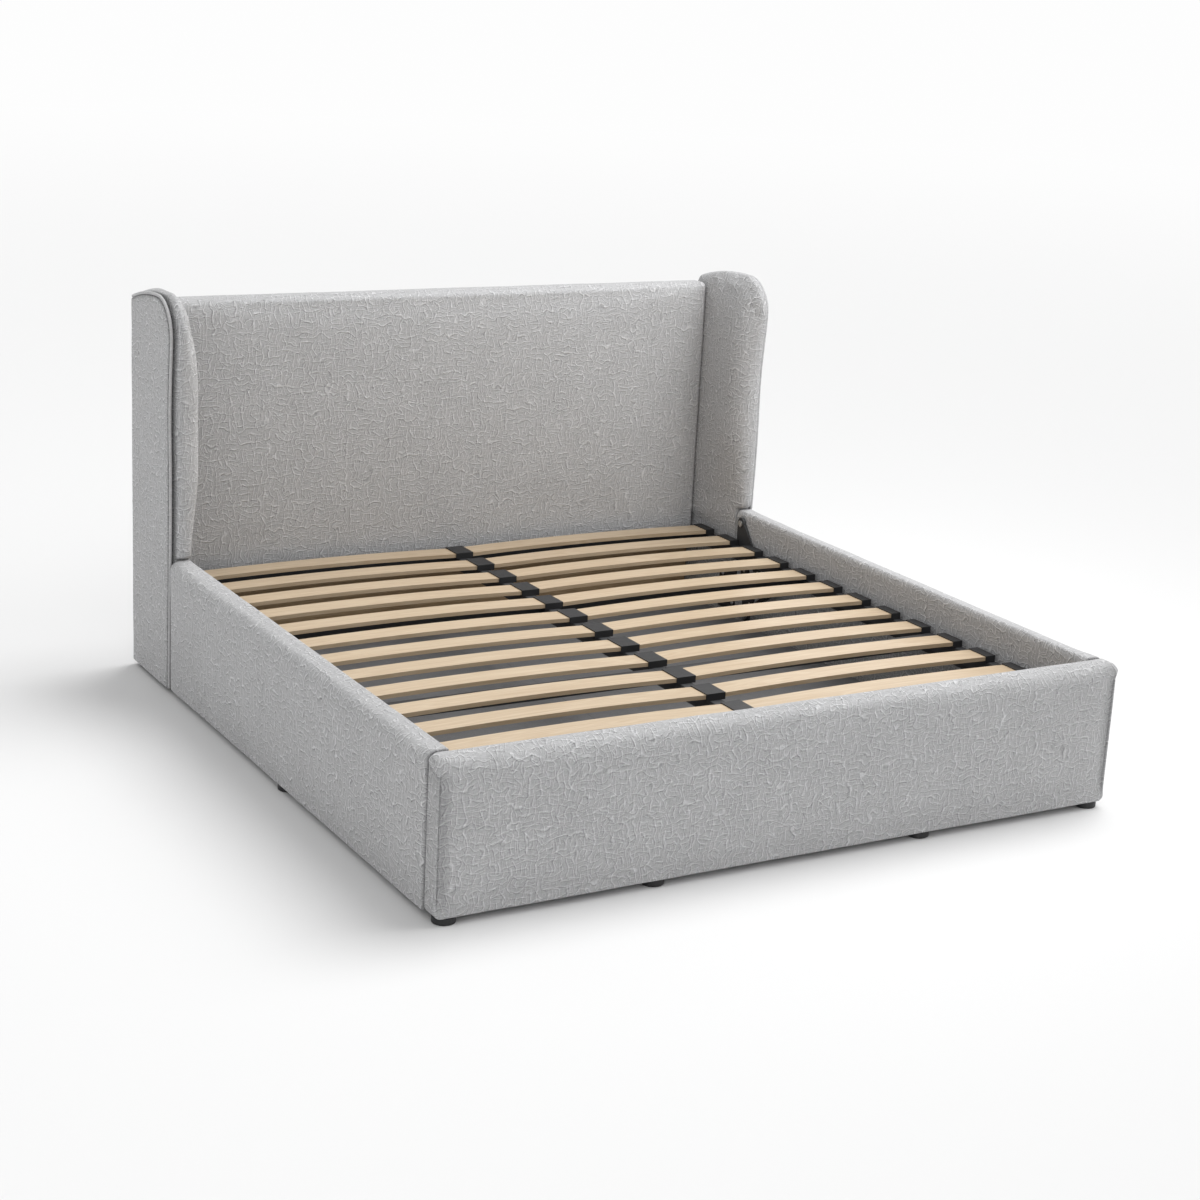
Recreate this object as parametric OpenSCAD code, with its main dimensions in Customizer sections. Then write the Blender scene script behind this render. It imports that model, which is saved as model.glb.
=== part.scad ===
// Upholstered winged bed frame with a lift-up slatted platform over a storage base.
// Millimetres, +Z up, origin at floor level in the middle of the bed, +Y towards the head.

/* [Overall] */
// Width over the outer faces of rails and wings
bed_w = 2080; // [1900:10:2200]
// Length from the front of the footboard to the back of the headboard
bed_l = 2180; // [2080:10:2260]
// Height of the panels' lower edge above the floor
ground_gap = 18; // [12:1:30]
// Height of the top of the side rails and the footboard
rail_top = 425; // [400:5:460]
// Height of the top of the headboard
head_top = 1160; // [1000:10:1300]
// How far the wings rise above the headboard
wing_rise = 45; // [20:1:80]

/* [Upholstered panels] */
// Thickness of a side rail with its padding
rail_t = 65; // [60:1:80]
// Thickness of the footboard with its padding
foot_t = 60; // [55:1:80]
// Thickness of the headboard with its padding
head_t = 80; // [70:1:110]
// Thickness of a wing with its padding
wing_t = 74; // [70:1:95]
// Front to back depth of a wing at the floor
wing_d = 322; // [250:1:420]
// How far the wing's front edge leans forward at the top
wing_lean = 28; // [0:2:60]
// Radius of the wing's top front corner
wing_corner_r = 120; // [80:5:170]
// How far the wing's top edge falls from its highest point to the back
wing_fall = 38; // [0:1:60]
// Radius of the rolled top edges of rails and footboard
roll_r = 26; // [10:1:28]
// Radius of the rails' and the footboard's end corners
end_r = 22; // [8:1:40]
// Radius of the footboard's upright front corners
corner_r = 12; // [4:1:16]
// Padding on the outer face of rails and footboard
pad_out = 17; // [10:1:20]
// Padding over the top of the boards
pad_top = 22; // [12:1:30]
// Cloth lining on the inner face of the boards
lining = 3; // [2:0.5:5]
// Radius of the padded front edges of the headboard
pad_r = 16; // [10:1:30]
// How far the wings' padding rolls over sideways behind its front edge
roll_side = 38; // [20:1:50]
// How far behind the front edge the wings' padding reaches its full thickness
roll_depth = 80; // [50:1:100]
// How far the wings' padding stands forward of their piping
wing_nose = 20; // [4:1:26]
// Distance of a wing's board behind its piping
wing_board_in = 30; // [25:1:60]
// Crown of the headboard's padded front
head_crown = 7; // [0:1:12]
// Thickness of the padding on the headboard's front
head_pad = 34; // [25:1:40]
// Thickness of the cloth-covered board on the back of the headboard
back_t = 5.5; // [4:0.5:8]
// Thickness of the flat covered panel on the outside of a wing
side_panel_t = 10; // [6:1:14]
// Radius of the piping cord
piping_r = 4; // [2.5:0.5:5]
// Gap between two upholstered pieces that touch
seam = 0.3; // [0.2:0.1:1]

/* [Storage base] */
// Thickness of the storage floor panels
floor_t = 9; // [6:1:15]
// Width of the floor battens and half the width of the centre joist
batten_w = 22; // [18:1:40]
// Height of the floor battens and the centre joist
batten_h = 18; // [14:1:25]
// Diameter of a plastic glide
glide_d = 60; // [40:2:70]
// Distance of the end glides from the bed's corners
glide_in = 40; // [30:2:80]
// Thickness of the steel angles and joining plates
angle_t = 3; // [2:0.5:4]
// Leg width of the ledger angles
ledger_w = 30; // [20:2:40]
// Head end of the side ledgers, measured from the pivot
ledger_stop = 460; // [420:10:600]
// Height of the joining plates
plate_h = 150; // [100:10:160]
// Leg length of the joining plates
plate_w = 62; // [50:2:90]
// Length of the head plates' short leg on the rail
head_leg = 30; // [24:1:36]
// Height of the joining plates above the floor
plate_z = 66; // [60:2:80]

/* [Platform] */
// Height of the top of the platform's steel frame
frame_top = 308; // [295:1:320]
// Height of a frame tube
tube_h = 40; // [30:1:45]
// Width of a frame tube
tube_w = 30; // [25:1:40]
// Wall of a frame tube
tube_wall = 1.5; // [1.2:0.1:2.5]
// Gap between the platform's ends and the footboard or headboard
end_gap = 10; // [8:1:20]
// Number of slats on each side
slat_count = 13; // [9:1:15]
// Width of a slat
slat_w = 75; // [50:1:90]
// Thickness of a slat
slat_t = 12; // [8:1:14]
// How far a slat bows up in the middle
slat_bow = 8; // [0:1:12]
// Thickness of the slat holders under and over the slats
holder_t = 4; // [3:0.5:6]
// Height of the retainer hoops above the frame
hoop_h = 78; // [50:2:90]
// Width of a retainer hoop
hoop_w = 200; // [120:10:210]
// Thickness of the retainer hoops' flat bar
hoop_t = 5; // [3:0.5:6]

/* [Lift] */
// Distance of the pivot from the front of the headboard
pivot_in = 300; // [280:5:330]
// Depth of the pivot below the top of the rails
pivot_drop = 40; // [35:1:60]
// Largest lift angle of the platform
lift_angle = 40; // [30:1:42]
// Distance of both strut studs from the pivot
strut_a = 320; // [300:2:330]
// Angle between the two studs at the pivot when the bed is closed
strut_open = 54; // [50:1:56]
// Depth of the arm's strut stud below the frame tubes
stud_drop = 18; // [14:1:24]
// How far the fixed lift plate's third corner lies in front of the strut's lower stud
bracket_out = 52; // [40:2:70]
// Thickness of the steel lift plates
lift_t = 4.5; // [4:0.1:4.6]
// Gap between the moving and the fixed lift plate
lift_gap = 0.4; // [0.3:0.1:0.6]
// Shank diameter of the pivot bolt
pivot_d = 12; // [8:1:16]
// Radial clearance of pins in their bores
pin_clear = 0.05; // [0.02:0.01:0.1]
// Outer diameter of the gas strut's cylinder
cyl_d = 22; // [18:1:24]
// Inner diameter of the gas strut's cylinder
cyl_bore = 18; // [14:1:20]
// Diameter of the gas strut's rod
rod_d = 10; // [8:1:10]
// Pin diameter of the strut studs
stud_d = 10; // [8:1:12]
// Length of the gas strut's cylinder
cyl_len = 230; // [210:2:232]
// Length of the gas strut's rod from its eye
rod_len = 250; // [244:1:256]
// Width of the strut's end eyes
eye_w = 10; // [8:1:12]

/* [Hidden] */
$fn = 48;

// Overall planes
half_w = bed_w / 2;
y_foot = -bed_l / 2;
y_head = bed_l / 2;
z_low = ground_gap;
wing_top = head_top + wing_rise;

// Inner faces of the panels
rail_in = half_w - rail_t;
wing_in = half_w - wing_t;
foot_in = y_foot + foot_t;
head_face = y_head - head_t;
wing_front = y_head - wing_d;
wing_front_top = wing_front - wing_lean;
wing_board_out = half_w - side_panel_t - seam;

// Pivot and strut geometry in the YZ plane
pivot_y = head_face - pivot_in;
pivot_z = rail_top - pivot_drop;
tube_low = frame_top - tube_h;
stud_b_z = tube_low - stud_drop;
stud_b_dir = asin((pivot_z - stud_b_z) / strut_a);
stud_b_y = pivot_y - strut_a * cos(stud_b_dir);
stud_a_dir = stud_b_dir + strut_open;
stud_a_y = pivot_y - strut_a * cos(stud_a_dir);
stud_a_z = pivot_z - strut_a * sin(stud_a_dir);
strut_closed = 2 * strut_a * sin(strut_open / 2);
strut_dir = atan2(stud_a_z - stud_b_z, stud_a_y - stud_b_y);

// Lift plates across the bed, fixed plate against the rail and moving plate inside it
fixed_in = rail_in - lift_t;
moving_out = fixed_in - lift_gap;
moving_in = moving_out - lift_t;
tube_out = moving_in;
tube_in = tube_out - tube_w;
strut_x = moving_in - cyl_d / 2 - 1.6;

// Platform ends
plat_foot = foot_in + end_gap;
plat_head = head_face - end_gap;
retainer_y = plat_foot - hoop_t;
slat_low = frame_top + holder_t;
slat_top = slat_low + slat_t;
centre_half = 20;

// Storage floor
batten_low = z_low + 1;
floor_low = batten_low + batten_h + seam;
floor_top = floor_low + floor_t;
board_head_front = head_face + head_pad + seam;
ledger_top = tube_low - seam;

cloth = [0.68, 0.68, 0.68];
cloth_dark = [0.62, 0.62, 0.62];
timber = [0.78, 0.63, 0.44];
steel = [0.16, 0.17, 0.18];
zinc = [0.70, 0.71, 0.73];
plastic = [0.08, 0.08, 0.09];

// Shared shapes

// Draws its children on the right side for 1 and mirrored on the left side for -1
module at_side(s) {
    if (s > 0) children();
    else mirror([1, 0, 0]) children();
}

// A flat outline given in Y and Z, with its thickness running along X from x0 to x1
module side_plate(x0, x1) {
    translate([x0, 0, 0]) rotate([90, 0, 90]) linear_extrude(height = x1 - x0) children();
}

// A flat outline given in X and Z, with its thickness running along Y from y0 to y1
module front_plate(y0, y1) {
    translate([0, y1, 0]) rotate([90, 0, 0]) linear_extrude(height = y1 - y0) children();
}

// A square outline from low to high corner
module span2(a, b) {
    translate(a) square([b[0] - a[0], b[1] - a[1]]);
}

// A block from low to high corner
module span3(a, b) {
    translate(a) cube([b[0] - a[0], b[1] - a[1], b[2] - a[2]]);
}

// An outline whose two upper corners are round
module round_top(x0, x1, z0, z1, r) {
    union() {
        span2([x0, z0], [x1, z1 - r]);
        span2([x0 + r, z0], [x1 - r, z1]);
        translate([x0 + r, z1 - r]) circle(r = r);
        translate([x1 - r, z1 - r]) circle(r = r);
    }
}

// A pin along X between two planes
module pin_x(r, x0, x1, y, z) {
    translate([x0, y, z]) rotate([0, 90, 0]) cylinder(r = r, h = x1 - x0);
}

// A steel box section with rounded corners, drawn along Z and centred on it
module box_section(w, h, wall, len) {
    r = 3;
    linear_extrude(height = len) difference() {
        union() {
            translate([-w / 2 + r, -h / 2]) square([w - 2 * r, h]);
            translate([-w / 2, -h / 2 + r]) square([w, h - 2 * r]);
            for (sx = [-1, 1], sy = [-1, 1])
                translate([sx * (w / 2 - r), sy * (h / 2 - r)]) circle(r = r, $fn = 24);
        }
        square([w - 2 * wall, h - 2 * wall], center = true);
    }
}

module tube_y(x, y0, y1) {
    translate([x, y0, frame_top - tube_h / 2]) rotate([-90, 0, 0]) box_section(tube_w, tube_h, tube_wall, y1 - y0);
}

module tube_x(y, x0, x1) {
    translate([x0, y, frame_top - tube_h / 2]) rotate([0, 90, 0]) box_section(tube_h, tube_w, tube_wall, x1 - x0);
}

// Upholstered rails and footboard

module rail_core(s) {
    color(timber) at_side(s)
        span3([rail_in + lining + seam, foot_in + seam, z_low],
              [half_w - pad_out - seam, rail_end - seam, rail_top - pad_top - seam]);
}

rail_end = wing_front - wing_lean * (rail_top - z_low) / (wing_top - wing_corner_r - z_low) - seam;

module rail_cover(s) {
    color(cloth) at_side(s) difference() {
        intersection() {
            front_plate(foot_in + seam, rail_end)
                round_top(rail_in, half_w, z_low, rail_top, roll_r);
            side_plate(rail_in - 1, half_w + 1)
                round_top(foot_in - 2 * end_r, rail_end, z_low, rail_top, end_r);
            translate([0, 0, z_low]) linear_extrude(height = rail_top)
                union() {
                    span2([rail_in, foot_in], [half_w - end_r, rail_end]);
                    span2([rail_in, foot_in], [half_w, rail_end - end_r]);
                    translate([half_w - end_r, rail_end - end_r]) circle(r = end_r);
                }
        }
        span3([rail_in + lining, foot_in - 1, z_low - 1],
              [half_w - pad_out, rail_end + 1, rail_top - pad_top]);
    }
}

module footboard_core() {
    color(timber)
        span3([-half_w + pad_out + seam, y_foot + pad_out + seam, z_low],
              [half_w - pad_out - seam, foot_in - lining - seam, rail_top - pad_top - seam]);
}

module footboard_cover() {
    color(cloth) difference() {
        intersection() {
            side_plate(-half_w, half_w)
                round_top(y_foot, foot_in, z_low, rail_top, roll_r);
            front_plate(y_foot - 1, foot_in + 1)
                round_top(-half_w, half_w, z_low, rail_top, end_r);
            translate([0, 0, z_low - 1]) linear_extrude(height = rail_top) union() {
                span2([-half_w, y_foot + corner_r], [half_w, foot_in + 1]);
                span2([-half_w + corner_r, y_foot], [half_w - corner_r, foot_in + 1]);
                for (s = [-1, 1])
                    translate([s * (half_w - corner_r), y_foot + corner_r]) circle(r = corner_r);
            }
        }
        span3([-half_w + pad_out, y_foot + pad_out, z_low - 1],
              [half_w - pad_out, foot_in - lining, rail_top - pad_top]);
    }
}

// Headboard

// Front outline of the headboard's padding, drawn in by e at the sides and the top
module head_outline(e) {
    span2([-wing_in + seam + e, pad_low + e], [wing_in - seam - e, head_top - e]);
}

pad_low = 230;

module headboard_cover() {
    color(cloth) difference() {
        hull() {
            for (i = [0 : 5]) {
                a = i * 18;
                front_plate(head_face + pad_r * (1 - sin(a)), head_face + pad_r * (1 - sin(a)) + 0.2)
                    head_outline(pad_r * (1 - cos(a)));
            }
            for (i = [1 : 4]) {
                t = i / 4;
                front_plate(head_face - head_crown * (1 - pow(1 - t, 2)), head_face - head_crown * (1 - pow(1 - t, 2)) + 0.2)
                    head_outline(pad_r + 300 * t);
            }
            front_plate(y_head - back_t - seam - 8, y_head - back_t - seam) head_outline(4);
            front_plate(y_head - back_t - seam - 12, y_head - back_t - seam - 4) head_outline(0);
        }
        span3([-half_w, head_face + head_pad, 0], [half_w, y_head + 1, head_top - pad_top]);
    }
}

module headboard_core() {
    color(timber)
        span3([-wing_in + seam, board_head_front, z_low], [wing_in - seam, y_head - back_t - seam, head_top - pad_top - seam]);
}

module headboard_back() {
    color(cloth_dark)
        front_plate(y_head - back_t, y_head) round_top(-wing_in + seam, wing_in - seam, z_low, head_top - 4, 12);
}

// Wings

// The front and top edge of a wing seen from the side, drawn in by e and ending at y_end.
// Each point holds Y, Z and the direction of the edge's outward normal in degrees.
corner_y = wing_front_top + wing_corner_r;
corner_steps = 10;
arch_steps = 3;
front_normal = 180;

function wing_edge(e, y_end) =
    let (r = max(wing_corner_r - e, 4), cy = wing_front_top + e + r, cz = wing_top - e - r, run = y_head - corner_y)
    concat(
        [[wing_front + e, z_low, front_normal]],
        [for (i = [0 : corner_steps])
            let (a = i * 90 / corner_steps) [cy - r * cos(a), cz + r * sin(a), front_normal - a]],
        [for (i = [1 : arch_steps])
            let (y = corner_y + (y_end - corner_y) * i / arch_steps, t = (y - corner_y) / run)
            [y, wing_top - e - wing_fall * t * t, front_normal / 2 - atan(2 * wing_fall * t / run)]]
    );

// Side outline of a wing, drawn in by e at its front and top edges and run past its back and foot by over
module wing_outline(e, over = 0) {
    edge = wing_edge(e, y_head);
    polygon(concat(
        [[y_head + over, z_low - over], [wing_front + e, z_low - over]],
        [for (i = [1 : len(edge) - 1]) [edge[i][0], edge[i][1]]],
        over > 0 ? [[y_head + over, edge[len(edge) - 1][1]]] : []
    ));
}

module wing_cover(s) {
    nose_x = wing_in + roll_side;
    color(cloth) at_side(s) difference() {
        hull() {
            side_plate(wing_board_out - 1, wing_board_out) wing_outline(4);
            for (i = [0 : 3]) {
                a = i * 30;
                side_plate(nose_x + (wing_board_out - 5 - nose_x) * cos(a), nose_x + (wing_board_out - 5 - nose_x) * cos(a) + 0.2)
                    translate([-wing_nose * sin(a), 0]) wing_outline(0);
            }
            for (i = [1 : 5]) {
                a = i * 18;
                side_plate(wing_in + roll_side * (1 - sin(a)), wing_in + roll_side * (1 - sin(a)) + 0.2)
                    translate([-wing_nose, 0]) wing_outline(roll_depth * (1 - cos(a)));
            }
            side_plate(wing_in, wing_in + 0.2) wing_outline(roll_depth);
        }
        side_plate(rail_in + lining, half_w) wing_outline(wing_board_in, 1);
        span3([wing_in - 1, wing_front_top - wing_nose - 5, 0], [rail_in, y_head + 1, wing_pad_low]);
        span3([wing_in - 1, wing_front_top - wing_nose - 5, 0], [half_w + 1, rail_end + seam, rail_top + seam]);
    }
}

wing_pad_low = slat_top + 14;

module wing_core(s) {
    color(timber) at_side(s)
        side_plate(rail_in + lining + seam, wing_board_out) wing_outline(wing_board_in + seam);
}

module wing_side_panel(s) {
    color(cloth) at_side(s)
        side_plate(half_w - side_panel_t, half_w) wing_outline(2 * piping_r + seam);
}

// Piping cord round the front and top edge of the wing's side panel, swept along its seam
piping_path = wing_edge(piping_r, y_head - 3);
piping_sides = 10;

module wing_piping(s) {
    n = piping_sides;
    last = len(piping_path) - 1;
    x = half_w - side_panel_t + piping_r;
    points = [for (p = piping_path, k = [0 : n - 1])
        let (c = piping_r * cos(k * 360 / n), t = piping_r * sin(k * 360 / n))
        [x + t, p[0] + c * cos(p[2]), p[1] + c * sin(p[2])]];
    faces = concat(
        [[for (k = [0 : n - 1]) k]],
        [[for (k = [n - 1 : -1 : 0]) last * n + k]],
        [for (i = [0 : last - 1], k = [0 : n - 1])
            [i * n + k, (i + 1) * n + k, (i + 1) * n + (k + 1) % n, i * n + (k + 1) % n]]
    );
    color(cloth_dark) at_side(s) polyhedron(points = points, faces = faces, convexity = 4);
}

// Steel ledgers and joining plates

module ledger_side(s) {
    color(steel) at_side(s) union() {
        span3([rail_in - angle_t, plat_foot, ledger_top - ledger_w], [rail_in, pivot_y - ledger_stop, ledger_top]);
        span3([rail_in - ledger_w, plat_foot, ledger_top - angle_t], [rail_in, pivot_y - ledger_stop, ledger_top]);
    }
}

module ledger_foot() {
    x = rail_in - ledger_w - 15;
    color(steel) union() {
        span3([-x, foot_in, ledger_top - ledger_w], [x, foot_in + angle_t, ledger_top]);
        span3([-x, foot_in, ledger_top - angle_t], [x, foot_in + ledger_w, ledger_top]);
    }
}

// Positions of the bolts in a joining plate, counted from its corner
function plate_bolt_z(i) = plate_z + plate_h * (i == 0 ? 0.2 : 0.8);
plate_bolt_in = plate_w * 0.6;
bolt_r = 4;
bolt_head_r = 7.5;
bolt_head_t = 4;

module foot_bracket(s) {
    color(steel) at_side(s) difference() {
        union() {
            span3([rail_in - angle_t, foot_in, plate_z], [rail_in, foot_in + plate_w, plate_z + plate_h]);
            span3([rail_in - plate_w, foot_in, plate_z], [rail_in, foot_in + angle_t, plate_z + plate_h]);
        }
        for (i = [0, 1]) {
            pin_x(bolt_r + pin_clear, rail_in - 10, rail_in + 1, foot_in + plate_bolt_in, plate_bolt_z(i));
            translate([rail_in - plate_bolt_in, foot_in - 1, plate_bolt_z(i)]) rotate([-90, 0, 0])
                cylinder(r = bolt_r + pin_clear, h = 10);
        }
    }
}

// Bolt lines of the plate that joins a rail to its wing
head_bolts_y = [rail_end - head_leg / 2, wing_front + wing_board_in + 1.5 * bolt_head_r];

module head_plate(s) {
    color(steel) at_side(s) difference() {
        side_plate(rail_in - angle_t, rail_in)
            span2([rail_end - head_leg, plate_z], [wing_front + plate_w, plate_z + plate_h]);
        for (i = [0, 1], y = head_bolts_y)
            pin_x(bolt_r + pin_clear, rail_in - 10, rail_in + 1, y, plate_bolt_z(i));
    }
}

// A low round-headed bolt whose shank starts at the origin and runs along -Z, with its head above
module button_bolt(shank) {
    translate([0, 0, -shank]) cylinder(r = bolt_r, h = shank + 0.5);
    difference() {
        intersection() {
            cylinder(r = bolt_head_r, h = bolt_head_t);
            translate([0, 0, bolt_head_t - 10]) sphere(r = 10);
        }
        translate([0, 0, bolt_head_t - 2]) cylinder(r = 3, h = 3, $fn = 6);
    }
}

module plate_bolts() {
    color(zinc) for (s = [-1, 1], i = [0, 1]) at_side(s) {
        translate([rail_in - angle_t, foot_in + plate_bolt_in, plate_bolt_z(i)]) rotate([0, -90, 0]) button_bolt(angle_t);
        translate([rail_in - plate_bolt_in, foot_in + angle_t, plate_bolt_z(i)]) rotate([-90, 0, 0]) button_bolt(angle_t);
        for (y = head_bolts_y)
            translate([rail_in - angle_t, y, plate_bolt_z(i)]) rotate([0, -90, 0]) button_bolt(angle_t);
    }
}

// Storage floor

module floor_batten(s) {
    color(timber) at_side(s)
        span3([rail_in - batten_w, foot_in, batten_low], [rail_in, board_head_front, batten_low + batten_h]);
}

module centre_joist() {
    color(timber)
        span3([-batten_w, foot_in, z_low], [batten_w, board_head_front, batten_low + batten_h]);
}

module floor_panel(s) {
    color(cloth_dark) at_side(s)
        span3([0.5, foot_in + 1, floor_low], [rail_in - 1, board_head_front - 1, floor_top]);
}

// A round glide with a domed edge, standing on the floor
module glide() {
    r = glide_d / 2;
    rotate_extrude($fn = 48) union() {
        square([r - 3, z_low]);
        translate([0, 3]) square([r, z_low - 3]);
        translate([r - 3, 3]) circle(r = 3, $fn = 24);
    }
}

glide_mid = 0.4 * half_w;

module glides() {
    core_y = (y_foot + foot_in) / 2;
    color(plastic) {
        for (x = [-half_w + glide_in, half_w - glide_in], y = [core_y, y_head - glide_in])
            translate([x, y, 0]) glide();
        for (x = [-glide_mid, glide_mid], y = [core_y + 4, y_head - glide_in])
            translate([x, y, 0]) glide();
        for (x = [-half_w + rail_t / 2, half_w - rail_t / 2])
            translate([x, -0.05 * bed_l, 0]) glide();
        for (y = [-0.25 * bed_l, 0, 0.25 * bed_l])
            translate([0, y, 0]) glide();
    }
}

// Lift mechanism

eye_plate_r = 20;

// A straight band between two points of the side view, with round ends
module band(p, q, r) {
    d = [q[0] - p[0], q[1] - p[1]];
    union() {
        translate(p) rotate(atan2(d[1], d[0])) translate([0, -r]) square([norm(d), 2 * r]);
        translate(p) circle(r = r);
        translate(q) circle(r = r);
    }
}

// Fixed plate on the rail's inner face: corners at the pivot, the strut's lower stud and a third point
function between(p, q, t) = [p[0] + t * (q[0] - p[0]), p[1] + t * (q[1] - p[1])];
bracket_p = [pivot_y, pivot_z];
bracket_a = [stud_a_y, stud_a_z];
bracket_c = [stud_a_y - bracket_out, (pivot_z + stud_a_z) / 2 + 10];
bracket_bolts_at = [
    bracket_c,
    between(bracket_p, bracket_c, 0.3),
    between(bracket_a, bracket_c, 0.3),
    between(bracket_p, bracket_a, 0.5)
];

module lift_bracket(s) {
    color(steel) at_side(s) difference() {
        side_plate(fixed_in, rail_in) difference() {
            union() {
                polygon([bracket_p, bracket_c, bracket_a]);
                band(bracket_p, bracket_a, eye_plate_r);
                band(bracket_p, bracket_c, eye_plate_r - 3);
                band(bracket_a, bracket_c, eye_plate_r - 3);
            }
            translate(between(bracket_c, bracket_bolts_at[3], 0.5)) circle(r = 14);
        }
        pin_x(pivot_d / 2 + pin_clear, fixed_in - 1, rail_in + 1, pivot_y, pivot_z);
        pin_x(stud_d / 2 - 1 + pin_clear, fixed_in - 1, rail_in + 1, stud_a_y, stud_a_z);
        for (q = bracket_bolts_at) {
            pin_x(bolt_r + pin_clear, fixed_in - 1, rail_in + 1, q[0], q[1]);
            translate([fixed_in - 0.01, q[0], q[1]]) rotate([0, 90, 0])
                cylinder(r1 = bolt_head_r - 0.5, r2 = bolt_r + pin_clear, h = 3);
        }
    }
}

module bracket_bolts() {
    color(zinc) for (s = [-1, 1], q = bracket_bolts_at) at_side(s)
        translate([fixed_in, q[0], q[1]]) rotate([0, 90, 0]) difference() {
            union() {
                translate([0, 0, 0.1]) cylinder(r1 = bolt_head_r - 0.7, r2 = bolt_r, h = 2.8);
                translate([0, 0, 0.1]) cylinder(r = bolt_r, h = lift_t - 0.1);
            }
            cylinder(r = 2.5, h = 2, $fn = 6);
        }
}

module pivot_bolt(s) {
    color(zinc) at_side(s) difference() {
        union() {
            pin_x(pivot_d / 2, moving_in - lift_gap - 0.5, rail_in - 0.1, pivot_y, pivot_z);
            pin_x(pivot_d / 2 + 5, moving_in - lift_gap - 3.2, moving_in - lift_gap, pivot_y, pivot_z);
        }
        translate([moving_in - lift_gap - 4, pivot_y, pivot_z]) rotate([0, 90, 0]) cylinder(r = 4, h = 3, $fn = 6);
    }
}

// A stud along X whose collar seats on a plate at x1, with a cap at its free end
module strut_stud(x1, y, z, tail) {
    pin_x(stud_d / 2 - 1, x1 - 0.5, x1 + tail, y, z);
    pin_x(stud_d / 2 + 3, strut_x + eye_w / 2 + 0.4, x1, y, z);
    pin_x(stud_d / 2, strut_x - eye_w / 2 - 2.4, strut_x + eye_w / 2 + 1, y, z);
    pin_x(stud_d / 2 + 3, strut_x - eye_w / 2 - 2.4, strut_x - eye_w / 2 - 0.4, y, z);
}

module base_stud(s) {
    color(zinc) at_side(s) strut_stud(fixed_in, stud_a_y, stud_a_z, lift_t - 0.1);
}

module arm_stud(s) {
    color(zinc) at_side(s) strut_stud(moving_in, stud_b_y, stud_b_z, lift_t - 0.1);
}

// Moving plate bolted to the platform, cranked up to the pivot
arm_mid_z = frame_top - tube_h / 2;
arm_bolt_y = [stud_b_y - 90, stud_b_y - 20, stud_b_y + 60];
arm_tip_y = stud_b_y - 105;
arm_web_foot = 60;
arm_web_head = 80;

module lift_arm(s) {
    color(steel) at_side(s) difference() {
        side_plate(moving_in, moving_out) union() {
            translate([pivot_y, pivot_z]) circle(r = eye_plate_r);
            polygon([[pivot_y - eye_plate_r, pivot_z], [pivot_y + eye_plate_r, pivot_z],
                     [pivot_y + eye_plate_r - 4, arm_mid_z - 10], [pivot_y - 40, tube_low],
                     [pivot_y - 130, tube_low], [pivot_y - 130, frame_top], [pivot_y - 80, frame_top + 14]]);
            band([arm_tip_y, arm_mid_z], [pivot_y - 20, arm_mid_z], tube_h / 2);
            polygon([[stud_b_y - arm_web_foot, arm_mid_z], [stud_b_y - 15, stud_b_z - 12], [stud_b_y + 15, stud_b_z - 12],
                     [stud_b_y + arm_web_head, arm_mid_z]]);
            translate([stud_b_y, stud_b_z]) circle(r = eye_plate_r - 2);
        }
        pin_x(pivot_d / 2 + pin_clear, moving_in - 1, moving_out + 1, pivot_y, pivot_z);
        pin_x(stud_d / 2 - 1 + pin_clear, moving_in - 1, moving_out + 1, stud_b_y, stud_b_z);
        for (y = arm_bolt_y)
            pin_x(bolt_r + pin_clear, moving_in - 1, moving_out + 1, y, arm_mid_z);
    }
}

module arm_bolts() {
    color(zinc) for (s = [-1, 1], y = arm_bolt_y) at_side(s)
        translate([moving_out, y, arm_mid_z]) rotate([0, 90, 0]) union() {
            translate([0, 0, -lift_t]) cylinder(r = bolt_r, h = lift_t + 0.5);
            difference() {
                cylinder(r = bolt_head_r, h = 3.2);
                translate([0, 0, 1.6]) cylinder(r = 2.5, h = 3, $fn = 6);
            }
        }
}

// Gas strut, drawn along its own axis from the arm's stud and then laid between the studs

module along_strut(s) {
    at_side(s) translate([strut_x, stud_b_y, stud_b_z]) rotate([strut_dir, 0, 0]) rotate([-90, 0, 0]) children();
}

eye_r = 11;
cyl_start = 20;

module strut_eye() {
    rotate([0, 90, 0]) translate([0, 0, -eye_w / 2]) cylinder(r = eye_r, h = eye_w);
}

module eye_bore() {
    rotate([0, 90, 0]) translate([0, 0, -eye_w]) cylinder(r = stud_d / 2 + pin_clear, h = 2 * eye_w);
}

module strut_cylinder(s) {
    color(steel) along_strut(s) difference() {
        union() {
            strut_eye();
            translate([0, 0, 7]) cylinder(r = eye_w / 2 - 0.6, h = cyl_start - 5);
            translate([0, 0, cyl_start]) cylinder(r = cyl_d / 2, h = cyl_len);
        }
        eye_bore();
        translate([0, 0, cyl_start + 4]) cylinder(r = cyl_bore / 2, h = cyl_len - 16);
        translate([0, 0, cyl_start + cyl_len - 13]) cylinder(r = rod_d / 2 + 0.1, h = 20);
    }
}

module strut_rod(s) {
    color(zinc) along_strut(s) translate([0, 0, strut_closed]) difference() {
        union() {
            strut_eye();
            translate([0, 0, -eye_r - 8]) cylinder(r = 7, h = 9);
            translate([0, 0, -rod_len]) cylinder(r = rod_d / 2, h = rod_len - 8);
            translate([0, 0, -rod_len]) cylinder(r = cyl_bore / 2 - 0.1, h = 8);
        }
        eye_bore();
    }
}

// Platform

module platform_side(s) {
    color(steel) at_side(s) tube_y((tube_in + tube_out) / 2, plat_foot, plat_head);
}

module platform_head_tube() {
    color(steel) tube_x(plat_head - tube_w / 2, -tube_in, tube_in);
}

module platform_foot_tube() {
    color(steel) tube_x(plat_foot + tube_w / 2, -tube_in, tube_in);
}

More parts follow.
